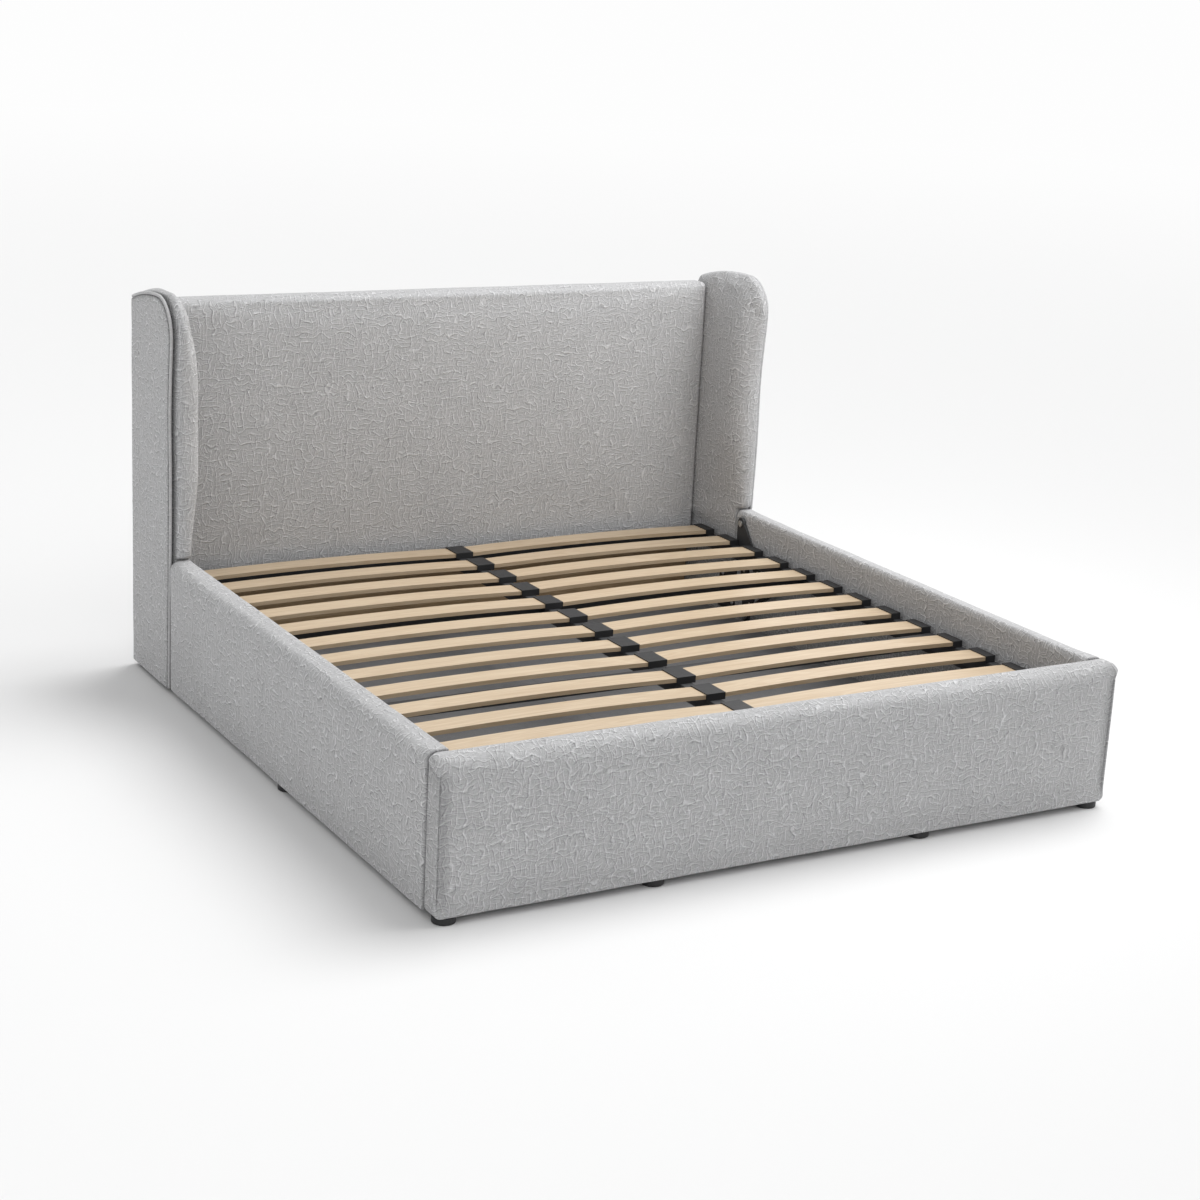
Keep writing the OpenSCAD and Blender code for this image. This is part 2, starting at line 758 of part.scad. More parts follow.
module platform_centre_tube() {
    color(steel) translate([0, plat_foot + tube_w, frame_top - tube_h / 2]) rotate([-90, 0, 0])
        box_section(2 * centre_half, tube_h, tube_wall, plat_head - plat_foot - 2 * tube_w);
}

cross_y = [plat_foot + 0.32 * (plat_head - plat_foot), plat_foot + 0.66 * (plat_head - plat_foot)];

module platform_cross_tubes() {
    color(steel) for (s = [-1, 1], y = cross_y) at_side(s) tube_x(y, centre_half, tube_in);
}

// Plastic plugs in the open ends of the side tubes
module tube_caps() {
    color(plastic) for (s = [-1, 1]) at_side(s) {
        x = (tube_in + tube_out) / 2;
        translate([x, plat_foot - 2.5, frame_top - tube_h / 2]) rotate([-90, 0, 0]) linear_extrude(height = 2.5)
            square([tube_w - 2, tube_h - 2], center = true);
        translate([x, plat_head, frame_top - tube_h / 2]) rotate([-90, 0, 0]) linear_extrude(height = 2.5)
            square([tube_w - 2, tube_h - 2], center = true);
        for (y = [plat_foot, plat_head - 12])
            translate([x, y, frame_top - tube_h / 2]) rotate([-90, 0, 0]) linear_extrude(height = 12)
                square([tube_w - 2 * tube_wall - 0.2, tube_h - 2 * tube_wall - 0.2], center = true);
    }
}

slat_x0 = 9;
slat_x1 = tube_out - 12;
slat_first = plat_foot + tube_w + 26 + slat_w / 2;
slat_last = plat_head - tube_w - 26 - slat_w / 2;
function slat_y(i) = slat_first + i * (slat_last - slat_first) / (slat_count - 1);

// Height of a slat's lower face above its holders at a share t of its length
function slat_rise(t) = slat_bow * 4 * t * (1 - t);

module slats() {
    color(timber) for (s = [-1, 1], i = [0 : slat_count - 1]) at_side(s)
        front_plate(slat_y(i) - slat_w / 2, slat_y(i) + slat_w / 2)
            polygon(concat(
                [for (k = [0 : 13]) [slat_x0 + k / 13 * (slat_x1 - slat_x0), slat_low + slat_rise(k / 13)]],
                [for (k = [13 : -1 : 0]) [slat_x0 + k / 13 * (slat_x1 - slat_x0), slat_low + slat_t + slat_rise(k / 13)]]
            ));
}

// Plastic holder over a slat's end, closed at x1 and open towards x0
module slat_holder(x0, x1, y) {
    w = slat_w / 2 + holder_t + 0.4;
    difference() {
        span3([x0, y - w, frame_top], [x1, y + w, slat_top + holder_t]);
        span3([x0 - 1, y - w + holder_t, slat_low - seam], [x1 - holder_t, y + w - holder_t, slat_top + 1.2]);
    }
}

module slat_holders() {
    color(plastic) for (i = [0 : slat_count - 1]) {
        for (s = [-1, 1]) at_side(s) slat_holder(tube_in - 6, tube_out - 4, slat_y(i));
        difference() {
            span3([-30, slat_y(i) - slat_w / 2 - holder_t - 0.4, frame_top],
                  [30, slat_y(i) + slat_w / 2 + holder_t + 0.4, slat_top + holder_t]);
            for (s = [-1, 1]) at_side(s)
                span3([slat_x0 - 2, slat_y(i) - slat_w / 2 - 0.4, slat_low - seam], [31, slat_y(i) + slat_w / 2 + 0.4, slat_top + 1.2]);
        }
    }
}

// Flat-bar hoops welded to the foot tube, standing above it
hoop_x = 0.25 * bed_w;

module hoop_outline() {
    difference() {
        round_top(-hoop_w / 2, hoop_w / 2, tube_low + 6, frame_top + hoop_h, 30);
        round_top(-hoop_w / 2 + 18, hoop_w / 2 - 18, tube_low, frame_top + hoop_h - 18, 14);
    }
}

module retainer_hoops() {
    color(steel) for (x = [-hoop_x, hoop_x])
        translate([x, 0, 0]) front_plate(retainer_y, plat_foot) hoop_outline();
}

// Folded webbing tab for lifting the platform
module pull_strap() {
    color(plastic) union() {
        span3([-22, plat_foot, frame_top], [22, plat_foot + tube_w - 4, frame_top + 3]);
        side_plate(-22, 22) union() {
            span2([plat_foot, frame_top], [plat_foot + 5, frame_top + 70]);
            translate([plat_foot + 4, frame_top + 70]) circle(r = 4, $fn = 24);
        }
    }
}

headboard_core();
headboard_cover();
headboard_back();
wing_core(-1);  // wing_left_core
wing_core(1);  // wing_right_core
wing_cover(-1);  // wing_left_cover
wing_cover(1);  // wing_right_cover
wing_side_panel(-1);  // wing_left_side_panel
wing_side_panel(1);  // wing_right_side_panel
wing_piping(-1);  // wing_left_piping
wing_piping(1);  // wing_right_piping
rail_core(-1);  // rail_left_core
rail_core(1);  // rail_right_core
rail_cover(-1);  // rail_left_cover
rail_cover(1);  // rail_right_cover
footboard_core();
footboard_cover();
ledger_side(-1);  // ledger_left
ledger_side(1);  // ledger_right
ledger_foot();
foot_bracket(-1);  // foot_bracket_left
foot_bracket(1);  // foot_bracket_right
head_plate(-1);  // head_plate_left
head_plate(1);  // head_plate_right
floor_panel(-1);  // floor_panel_left
floor_panel(1);  // floor_panel_right
floor_batten(-1);  // floor_batten_left
floor_batten(1);  // floor_batten_right
centre_joist();
glides();
plate_bolts();
lift_bracket(-1);  // lift_bracket_left
lift_bracket(1);  // lift_bracket_right
pivot_bolt(-1);  // pivot_bolt_left
pivot_bolt(1);  // pivot_bolt_right
base_stud(-1);  // base_stud_left
base_stud(1);  // base_stud_right
bracket_bolts();
lift_arm(-1);  // lift_arm_left
lift_arm(1);  // lift_arm_right
arm_stud(-1);  // arm_stud_left
arm_stud(1);  // arm_stud_right
arm_bolts();
platform_side(-1);  // platform_side_left
platform_side(1);  // platform_side_right
platform_head_tube();
platform_foot_tube();
platform_centre_tube();
platform_cross_tubes();
tube_caps();
slats();
slat_holders();
retainer_hoops();
pull_strap();
strut_cylinder(-1);  // strut_cylinder_left
strut_cylinder(1);  // strut_cylinder_right
strut_rod(-1);  // strut_rod_left
strut_rod(1);  // strut_rod_right
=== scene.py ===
# Looks of the upholstered winged bed frame: camera, studio, cloth pieces and materials.
# Metres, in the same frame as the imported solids: +X right seen from the foot, +Y head, +Z up.

import math

import bmesh
import bpy
import numpy as np
from mathutils import Matrix, Vector, noise


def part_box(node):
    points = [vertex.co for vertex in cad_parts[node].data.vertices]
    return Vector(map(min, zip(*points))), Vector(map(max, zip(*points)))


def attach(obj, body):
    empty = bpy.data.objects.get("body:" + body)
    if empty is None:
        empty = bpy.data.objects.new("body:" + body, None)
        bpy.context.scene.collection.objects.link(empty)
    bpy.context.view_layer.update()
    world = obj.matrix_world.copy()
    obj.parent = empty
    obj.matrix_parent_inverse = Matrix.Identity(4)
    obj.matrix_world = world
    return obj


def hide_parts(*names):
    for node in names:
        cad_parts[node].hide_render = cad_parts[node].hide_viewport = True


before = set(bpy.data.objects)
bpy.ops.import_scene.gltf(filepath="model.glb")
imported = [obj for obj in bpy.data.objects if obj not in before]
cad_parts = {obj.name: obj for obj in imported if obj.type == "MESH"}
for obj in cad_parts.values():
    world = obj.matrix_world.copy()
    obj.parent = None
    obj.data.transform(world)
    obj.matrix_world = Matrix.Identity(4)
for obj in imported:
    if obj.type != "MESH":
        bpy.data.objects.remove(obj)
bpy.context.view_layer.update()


# Camera at the photograph's viewing angle

CAMERA_PLACE = Vector((-3.274, -5.586, 2.279))
CAMERA_YAW = math.radians(30.45)
CAMERA_PITCH = math.radians(16.12)
CAMERA_ROLL = math.radians(3.01)
FOCAL_PIXELS = 2298.0
IMAGE_PIXELS = 1200.0
SENSOR_WIDTH = 36.0


def make_camera():
    flat_ahead = math.cos(CAMERA_PITCH)
    forward = Vector((math.sin(CAMERA_YAW) * flat_ahead, math.cos(CAMERA_YAW) * flat_ahead,
                      -math.sin(CAMERA_PITCH)))
    level = Vector((math.cos(CAMERA_YAW), -math.sin(CAMERA_YAW), 0.0))
    upright = level.cross(forward)
    right = level * math.cos(CAMERA_ROLL) + upright * math.sin(CAMERA_ROLL)
    up = upright * math.cos(CAMERA_ROLL) - level * math.sin(CAMERA_ROLL)
    turn = Matrix((right, up, -forward)).transposed().to_4x4()
    data = bpy.data.cameras.new("camera")
    data.sensor_fit = "HORIZONTAL"
    data.sensor_width = SENSOR_WIDTH
    data.lens = FOCAL_PIXELS / IMAGE_PIXELS * SENSOR_WIDTH
    data.clip_start = 0.05
    data.clip_end = 1000.0
    camera = bpy.data.objects.new("camera", data)
    camera.matrix_world = Matrix.Translation(CAMERA_PLACE) @ turn
    bpy.context.scene.collection.objects.link(camera)
    bpy.context.scene.camera = camera


make_camera()


# Small helpers for node trees

class Tree:
    """Builds a node tree with short calls."""

    def __init__(self, tree):
        self.tree = tree
        self.tree.nodes.clear()
        self.spot = 0

    def add(self, kind, **values):
        made = self.tree.nodes.new(kind)
        made.location = (self.spot * 180 - 2400, (self.spot % 5) * -220)
        self.spot += 1
        for key, value in values.items():
            setattr(made, key, value)
        return made

    def link(self, out_socket, in_socket):
        self.tree.links.new(out_socket, in_socket)

    def feed(self, socket, value):
        if isinstance(value, bpy.types.NodeSocket):
            self.link(value, socket)
        else:
            socket.default_value = value

    def fill(self, made, *given, **named):
        """Feeds a node's inputs in order and by name, an underscore in a name being a space."""
        for socket, value in zip(made.inputs, given):
            self.feed(socket, value)
        for key, value in named.items():
            self.feed(made.inputs[key.replace("_", " ")], value)
        return made

    def math(self, kind, a, b=0.0, clamp=False):
        return self.fill(self.add("ShaderNodeMath", operation=kind, use_clamp=clamp), a, b).outputs[0]

    def plus(self, a, b):
        return self.math("ADD", a, b)

    def times(self, a, b):
        return self.math("MULTIPLY", a, b)

    def size(self, a):
        return self.math("ABSOLUTE", a)

    def ripple(self, a, frequency):
        return self.math("SINE", self.times(a, frequency))

    def place(self):
        return self.add("ShaderNodeTexCoord").outputs["Object"]

    def facing(self):
        return self.split(self.add("ShaderNodeNewGeometry").outputs["Normal"])

    def split(self, vector):
        return self.fill(self.add("ShaderNodeSeparateXYZ"), vector).outputs

    def stretched(self, place, scale, offset=(0.0, 0.0, 0.0)):
        return self.fill(self.add("ShaderNodeMapping"), Vector=place, Scale=scale, Location=offset).outputs[0]

    def noise(self, place, scale, detail=0.0, rough=0.5, distort=0.0, output=0):
        made = self.add("ShaderNodeTexNoise")
        self.fill(made, Vector=place, Scale=scale, Detail=detail, Roughness=rough, Distortion=distort)
        return made.outputs[output]

    def span(self, value, low, high, to_low=0.0, to_high=1.0, smooth=False):
        made = self.add("ShaderNodeMapRange", interpolation_type="SMOOTHSTEP" if smooth else "LINEAR")
        return self.fill(made, value, low, high, to_low, to_high).outputs[0]

    def blend(self, amount, a, b):
        made = self.add("ShaderNodeMix", data_type="RGBA", blend_type="MIX")
        self.feed(made.inputs[0], amount)
        self.feed(made.inputs[6], a)
        self.feed(made.inputs[7], b)
        return made.outputs[2]

    def vector(self, kind, a, b):
        return self.fill(self.add("ShaderNodeVectorMath", operation=kind), a, b).outputs[0]

    def shade(self, colour, factor):
        made = self.add("ShaderNodeVectorMath", operation="SCALE")
        return self.fill(made, colour, Scale=factor).outputs[0]

    def mix_shaders(self, amount, a, b):
        return self.fill(self.add("ShaderNodeMixShader"), amount, a, b).outputs[0]


class Surface(Tree):
    """A material with one Principled shader."""

    def __init__(self, name):
        self.material = bpy.data.materials.new(name)
        self.material.use_nodes = True
        super().__init__(self.material.node_tree)
        self.output = self.add("ShaderNodeOutputMaterial")
        self.shader = self.add("ShaderNodeBsdfPrincipled")
        self.link(self.shader.outputs[0], self.output.inputs[0])

    def finish(self, colour, tone, height, strength, distance, **values):
        """Shaded colour, relief and the shader's other values."""
        relief = self.fill(self.add("ShaderNodeBump"), Strength=strength, Distance=distance, Height=height)
        base = self.shade(colour, tone) if tone is not None else colour
        self.fill(self.shader, Base_Color=base, Normal=relief.outputs[0], **values)
        return self.material


# Cloth: fine grain, short yarns across and along, and a maze of wandering raised threads

SIDE_FACING = (0.55, 0.80)
THREADS_NEAR = dict(period=0.0150, half=0.155, amount=0.042, scale=28.0, seed=1.3,
                    mask_scale=38.0, low=-0.04, high=0.01)
THREADS_WIDE = dict(period=0.0205, half=0.114, amount=0.050, scale=22.0, seed=4.7,
                    mask_scale=44.0, low=-0.02, high=0.03)
YARN_FINE = 330
YARN_LONG = 80


def raised_threads(tree, coordinate, period, offset, half):
    """Evenly spaced threads along one coordinate: dark on one flank, light on the crest, 0 between them. In
    the colour the dark flank is a painted shade and the light crest a painted highlight; the same values give
    the threads' relief.
    """
    turn = tree.math("FRACT", tree.plus(tree.math("DIVIDE", coordinate, period), offset))
    ramp = tree.fill(tree.add("ShaderNodeValToRGB"), turn)
    ramp.color_ramp.interpolation = "EASE"
    stops = ramp.color_ramp.elements
    wanted = [(0.0, 0.5), (0.5 - 1.9 * half, 0.5), (0.5 - 0.95 * half, 0.16),
              (0.5 + 0.15 * half, 1.0), (0.5 + 1.3 * half, 0.5)]
    while len(stops) < len(wanted):
        stops.new(0.5)
    for stop, (spot, level) in zip(stops, wanted):
        stop.position = spot
        stop.color = (level, level, level, 1.0)
    return tree.math("SUBTRACT", ramp.outputs[0], 0.5)


def wandering(tree, place, amount, scale, seed):
    """The place pushed about by slow noise, so that straight threads wander."""
    shifted = tree.stretched(place, (1, 1, 1), (seed, seed * 1.9, seed * 0.6))
    push = tree.noise(shifted, scale, 0.6, output=1)
    centred = tree.vector("SUBTRACT", push, (0.5, 0.5, 0.5))
    return tree.split(tree.vector("ADD", place, tree.shade(centred, amount)))


def thread_layer(tree, place, facing, period, half, amount, scale, seed, mask_scale, low, high):
    """Upright threads in some patches and level ones in the others."""
    wander = wandering(tree, place, amount, scale, seed)
    mask = tree.noise(tree.stretched(place, (1, 1, 1), (seed * 2.3, seed * 0.8, seed * 1.4)), mask_scale, 0.3)
    upright_here = tree.span(mask, 0.5 + low, 0.5 + high, smooth=True)
    level_here = tree.span(mask, 0.5 - high, 0.5 - low, 1.0, 0.0, smooth=True)
    lines = []
    for i, offset in enumerate((0.13, 0.21, 0.37)):
        threads = raised_threads(tree, wander[i], period, offset * seed, half)
        lines.append(tree.times(threads, facing[i]))
    upright = tree.times(tree.plus(lines[0], lines[1]), upright_here)
    return tree.plus(upright, tree.times(lines[2], level_here))


def cloth(name, colour, line=1.0):
    tree = Surface(name)
    place = tree.place()
    slopes = tree.facing()
    facing = [tree.span(tree.size(slopes[i]), *SIDE_FACING, 1.0, 0.0, smooth=True) for i in range(3)]
    near = thread_layer(tree, place, facing, **THREADS_NEAR)
    maze = tree.plus(near, thread_layer(tree, place, facing, **THREADS_WIDE))
    # On the cloth of the sides the threads' painted highlight and shade are made stronger and their relief
    # weaker, since the lamps shade the relief less there
    sideways = tree.span(tree.size(slopes[0]), 0.5, 0.9, smooth=True)
    painted_thread_light_gain = tree.span(sideways, 0.0, 1.0, 0.58 * line, 0.82 * line)
    across = tree.noise(tree.stretched(place, (YARN_LONG, YARN_LONG, YARN_FINE)), 1.0, 1.0)
    along = tree.noise(tree.stretched(place, (YARN_FINE, YARN_FINE, YARN_LONG), (3.3, 1.1, 6.2)), 1.0, 1.0)
    yarn = tree.plus(across, along)
    grain = tree.noise(place, 420.0, 2.0, 0.6)
    blotch = tree.noise(place, 9.0, 3.0)
    # Colour: painted highlight on the raised threads and painted shade beside them, a little uneven from yarn
    # to yarn
    tone = tree.plus(tree.span(yarn, 0.6, 1.4, 0.84, 1.16), tree.times(maze, painted_thread_light_gain))
    tone = tree.plus(tone, tree.span(grain, 0.25, 0.75, -0.14, 0.14))
    tone = tree.plus(tone, tree.span(blotch, 0.3, 0.7, -0.03, 0.03))
    # Painted shade: the cloth's colour is darkened down in the seams and folds, by an amount stored on each
    # mesh point
    seam = tree.add("ShaderNodeAttribute", attribute_name="seam").outputs["Fac"]
    tone = tree.times(tone, tree.math("SUBTRACT", 1.0, seam))
    # Relief of the threads, the yarns and the grain
    height = tree.times(maze, tree.span(sideways, 0.0, 1.0, line, 0.75 * line))
    height = tree.plus(height, tree.times(yarn, 0.35))
    height = tree.plus(height, tree.times(grain, 0.35))
    return tree.finish(colour, tone, height, 0.5, 0.0036, Roughness=0.92, Specular_IOR_Level=0.25,
                       Sheen_Weight=0.25, Sheen_Roughness=0.45)


def webbing(name, colour):
    tree = Surface(name)
    place = tree.place()
    axes = tree.split(place)
    slant = tree.plus(tree.times(axes[0], 1500.0), tree.times(axes[2], 900.0))
    twill = tree.size(tree.math("SINE", slant))
    ribs = tree.size(tree.ripple(axes[0], 1100.0))
    fuzz = tree.noise(place, 900.0, 2.0)
    tone = tree.plus(tree.span(twill, 0.0, 1.0, 0.75, 1.2), tree.span(fuzz, 0.3, 0.7, -0.1, 0.1))
    height = tree.plus(twill, tree.times(ribs, 0.6))
    return tree.finish(colour, tone, height, 0.6, 0.0006, Roughness=0.85, Sheen_Weight=0.2)


def wood(name, light, dark, rough, coat=0.0, layers=False):
    """Grain along X, with pores, slow colour drift and, for laminate, glue lines through the thickness."""
    tree = Surface(name)
    place = tree.place()
    drift = tree.noise(tree.stretched(place, (0.55, 9.0, 9.0)), 2.2, 3.0, 0.55, 0.7)
    bands = tree.size(tree.ripple(drift, 34.0))
    pores = tree.noise(tree.stretched(place, (7.0, 260.0, 260.0)), 1.0, 3.0, 0.6)
    slow = tree.noise(place, 1.6, 2.0)
    mix = tree.plus(tree.span(bands, 0.0, 1.0, 0.0, 0.42), tree.span(pores, 0.3, 0.75, 0.0, 0.45))
    mix = tree.math("ADD", mix, tree.span(slow, 0.35, 0.65, -0.1, 0.15), clamp=True)
    colour = tree.blend(mix, (*light, 1.0), (*dark, 1.0))
    if layers:
        edge = tree.span(tree.size(tree.facing()[2]), 0.5, 0.7, 1.0, 0.0)
        ply = tree.span(tree.ripple(tree.split(place)[2], 3100.0), 0.1, 0.6, 0.0, 0.55)
        glue = (dark[0] * 0.55, dark[1] * 0.5, dark[2] * 0.45, 1.0)
        colour = tree.blend(tree.times(edge, ply), colour, glue)
    return tree.finish(colour, None, tree.plus(pores, tree.times(bands, 0.2)), 0.25, 0.0006,
                       Roughness=tree.span(pores, 0.3, 0.7, rough - 0.07, rough + 0.1),
                       Coat_Weight=coat, Coat_Roughness=0.22)


def powder_coat(name, colour, rough, bump):
    tree = Surface(name)
    place = tree.place()
    orange_peel = tree.noise(place, 420.0, 2.0, 0.55)
    speck = tree.noise(place, 1500.0, 1.0)
    dust = tree.noise(place, 6.0, 4.0, 0.6)
    tone = tree.plus(tree.span(speck, 0.3, 0.7, 0.9, 1.12), tree.span(dust, 0.35, 0.7, -0.05, 0.10))
    return tree.finish(colour, tone, orange_peel, bump, 0.0004,
                       Roughness=tree.span(dust, 0.3, 0.7, rough - 0.06, rough + 0.10))


def metal(name, colour, rough, brush, bloom):
    tree = Surface(name)
    place = tree.place()
    stain = tree.noise(place, 38.0, 4.0, 0.6)
    scratch = tree.noise(tree.stretched(place, (1400.0, 60.0, 1400.0)), 1.0, 2.0)
    tone = tree.span(stain, 0.3, 0.7, 1.0 - bloom, 1.0 + bloom)
    tone = tree.plus(tone, tree.span(scratch, 0.35, 0.65, -0.03, 0.03))
    return tree.finish(colour, tone, scratch, 0.1 + brush, 0.0002, Metallic=1.0,
                       Roughness=tree.span(stain, 0.3, 0.7, rough - 0.05, rough + 0.10))


def plastic(name, colour, rough):
    tree = Surface(name)
    place = tree.place()
    spark = tree.noise(place, 1100.0, 2.0, 0.6)
    cloud = tree.noise(place, 22.0, 3.0)
    tone = tree.plus(tree.span(cloud, 0.3, 0.7, 0.9, 1.15), tree.span(spark, 0.3, 0.7, -0.08, 0.08))
    return tree.finish(colour, tone, spark, 0.3, 0.0003,
                       Roughness=tree.span(cloud, 0.3, 0.7, rough - 0.05, rough + 0.08))


def felt(name, colour):
    tree = Surface(name)
    place = tree.place()
    fibre = tree.noise(tree.stretched(place, (500.0, 210.0, 500.0)), 1.0, 4.0, 0.7, 1.5)
    cloud = tree.noise(place, 30.0, 3.0)
    tone = tree.plus(tree.span(fibre, 0.3, 0.7, 0.82, 1.15), tree.span(cloud, 0.3, 0.7, -0.04, 0.04))
    return tree.finish(colour, tone, fibre, 0.5, 0.0008, Roughness=0.95, Sheen_Weight=0.15)


upholstery = cloth("upholstery_cloth", (0.452, 0.452, 0.458))
piping_cloth = cloth("piping_cloth", (0.50, 0.50, 0.505), line=0.15)
back_cloth = cloth("back_cloth", (0.36, 0.36, 0.365), line=0.6)
slat_wood = wood("slat_wood", (0.63, 0.51, 0.36), (0.48, 0.35, 0.22), 0.38, coat=0.25, layers=True)
board_wood = wood("board_wood", (0.62, 0.45, 0.27), (0.42, 0.27, 0.14), 0.65)
floor_felt = felt("floor_felt", (0.20, 0.20, 0.205))
frame_steel = powder_coat("frame_steel", (0.035, 0.036, 0.038), 0.48, 0.35)
strut_paint = powder_coat("strut_paint", (0.012, 0.012, 0.013), 0.25, 0.08)
zinc = metal("zinc", (0.62, 0.63, 0.64), 0.33, 0.1, 0.10)
chrome = metal("chrome", (0.78, 0.78, 0.79), 0.12, 0.0, 0.02)
black_plastic = plastic("black_plastic", (0.014, 0.014, 0.015), 0.45)
black_webbing = webbing("black_webbing", (0.022, 0.022, 0.024))
stitch_thread = webbing("stitch_thread", (0.10, 0.10, 0.105))

# The first word found in a node's name gives its material
LOOKS = (
    ("core", board_wood), ("batten", board_wood), ("joist", board_wood), ("floor_panel", floor_felt),
    ("headboard_back", back_cloth), ("slat_holders", black_plastic), ("slats", slat_wood),
    ("glides", black_plastic), ("tube_caps", black_plastic), ("pull_strap", black_webbing),
    ("cylinder", strut_paint), ("rod", chrome), ("bolt", zinc), ("stud", zinc),
    ("piping", piping_cloth), ("cover", upholstery), ("side_panel", upholstery),
)


def look_for(name):
    for word, look in LOOKS:
        if word in name:
            return look
    return frame_steel


for name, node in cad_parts.items():
    node.data.materials.clear()
    node.data.materials.append(look_for(name))


# Mesh helpers

def steps(low, high, fine, coarse, edge):
    """Positions from low to high, close together within an edge's width of both ends."""
    edge = min(edge, (high - low) * 0.45)
    near = np.linspace(0.0, edge, max(2, int(round(edge / fine)) + 1))
    middle_count = max(2, int(round((high - low - 2 * edge) / coarse)) + 1)
    middle = np.linspace(low + edge, high - edge, middle_count)
    return np.concatenate([low + near[:-1], middle, (high - near[:-1])[::-1]])


def box_skin(xs, ys, zs):
    """Points and quads of a closed box skin whose grid lines are given on each axis."""
    index = {}
    points = []
    quads = []

    def at(i, j, k):
        key = (i, j, k)
        if key not in index:
            index[key] = len(points)
            points.append((xs[i], ys[j], zs[k]))
        return index[key]

    nx, ny, nz = len(xs) - 1, len(ys) - 1, len(zs) - 1
    for j in range(ny):
        for k in range(nz):
            quads.append((at(0, j, k), at(0, j, k + 1), at(0, j + 1, k + 1), at(0, j + 1, k)))
            quads.append((at(nx, j, k), at(nx, j + 1, k), at(nx, j + 1, k + 1), at(nx, j, k + 1)))
    for i in range(nx):
        for k in range(nz):
            quads.append((at(i, 0, k), at(i + 1, 0, k), at(i + 1, 0, k + 1), at(i, 0, k + 1)))
            quads.append((at(i, ny, k), at(i, ny, k + 1), at(i + 1, ny, k + 1), at(i + 1, ny, k)))
    for i in range(nx):
        for j in range(ny):
            quads.append((at(i, j, 0), at(i, j + 1, 0), at(i + 1, j + 1, 0), at(i + 1, j, 0)))
            quads.append((at(i, j, nz), at(i + 1, j, nz), at(i + 1, j + 1, nz), at(i, j + 1, nz)))
    return np.array(points, float), quads


def smoothstep(value, low, high):
    t = np.clip((value - low) / (high - low), 0.0, 1.0)
    return t * t * (3.0 - 2.0 * t)


def rounded(points, low, high, radii_low, radii_high):
    """Rounds a box skin: each end of each axis has its own radius, as a softened box."""
    points = points.copy()
    low = np.array(low, float)
    high = np.array(high, float)
    inner_low = low + np.array(radii_low, float)
    inner_high = high - np.array(radii_high, float)
    core = np.minimum(np.maximum(points, inner_low), inner_high)
    away = points - core
    size = np.where(away < 0, np.array(radii_low, float), np.array(radii_high, float))
    unit = away / size
    largest = np.abs(unit).max(axis=1, keepdims=True)
    length = np.linalg.norm(unit, axis=1, keepdims=True)
    factor = np.where(length > 1e-9, largest / np.maximum(length, 1e-9), 1.0)
    return core + unit * factor * size


def soft_bar(points, low, high, axis, section, end_low, end_high):
    """Rounds a box skin as a bar along one axis.

    The section has a radius at the low and high side of each cross axis, and each end draws the two
    cross axes in over radii of its own.
    """
    points = points.copy()
    cross = [i for i in range(3) if i != axis]
    draw = np.zeros((len(points), 2))
    for spot, sign, radii in ((low[axis], 1.0, end_low), (high[axis], -1.0, end_high)):
        distance = (points[:, axis] - spot) * sign
        for k in range(2):
            t = np.clip(1.0 - distance / radii[k], 0.0, 1.0)
            draw[:, k] = np.maximum(draw[:, k], radii[k] * (1.0 - np.sqrt(np.maximum(1.0 - t * t, 0.0))))
    sizes = np.zeros((len(points), 2))
    unit = np.zeros((len(points), 2))
    core = np.zeros((len(points), 2))
    for k, i in enumerate(cross):
        middle = 0.5 * (low[i] + high[i])
        half = 0.5 * (high[i] - low[i])
        place = middle + (points[:, i] - middle) * (half - draw[:, k]) / half
        radius_low = np.maximum(section[k][0] - draw[:, k], 0.001)
        radius_high = np.maximum(section[k][1] - draw[:, k], 0.001)
        inner_low = low[i] + draw[:, k] + radius_low
        inner_high = high[i] - draw[:, k] - radius_high
        core[:, k] = np.minimum(np.maximum(place, inner_low), inner_high)
        away = place - core[:, k]
        sizes[:, k] = np.where(away < 0, radius_low, radius_high)
        unit[:, k] = away / sizes[:, k]
    largest = np.abs(unit).max(axis=1)
    length = np.linalg.norm(unit, axis=1)
    factor = np.where(length > 1e-9, largest / np.maximum(length, 1e-9), 1.0)
    for k, i in enumerate(cross):
        points[:, i] = core[:, k] + unit[:, k] * factor * sizes[:, k]
    return points


def add_object(name, mesh, material, body):
    mesh.materials.append(material)
    mesh.polygons.foreach_set("use_smooth", [True] * len(mesh.polygons))
    made = bpy.data.objects.new(name, mesh)
    bpy.context.scene.collection.objects.link(made)
    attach(made, body)
    return made


def make_piece(name, points, quads, material, body="base"):
    mesh = bpy.data.meshes.new(name)
    mesh.from_pydata([tuple(p) for p in points], [], quads)
    mesh.validate()
    sculpt = bmesh.new()
    sculpt.from_mesh(mesh)
    bmesh.ops.recalc_face_normals(sculpt, faces=sculpt.faces)
    sculpt.to_mesh(mesh)
    sculpt.free()
    return add_object(name, mesh, material, body)


def put_seams(mesh, amount):
    """How much painted shade darkens the cloth in its seams, for each point of a mesh, from 0 to 1."""
    layer = mesh.attributes.new("seam", "FLOAT", "POINT")
    layer.data.foreach_set("value", np.clip(amount, 0.0, 0.9).astype(np.float32))


def bell(distance, width):
    return np.exp(-(distance / width) ** 2)


def point_normals(points, quads):
    """Area weighted normals of a quad mesh."""
    faces = np.array(quads)
    a = points[faces[:, 2]] - points[faces[:, 0]]
    b = points[faces[:, 3]] - points[faces[:, 1]]
    face_normals = np.cross(a, b)
    normals = np.zeros_like(points)
    for corner in range(4):
        np.add.at(normals, faces[:, corner], face_normals)
    length = np.linalg.norm(normals, axis=1, keepdims=True)
    return normals / np.maximum(length, 1e-12)


def slow_noise(points, scale, seed):
    """Smooth noise in -1..1 at each point, the same on every run."""
    shift = Vector((seed * 13.7, seed * 5.3, seed * 9.1))
    return np.array([noise.noise(Vector(p) * scale + shift) for p in points])


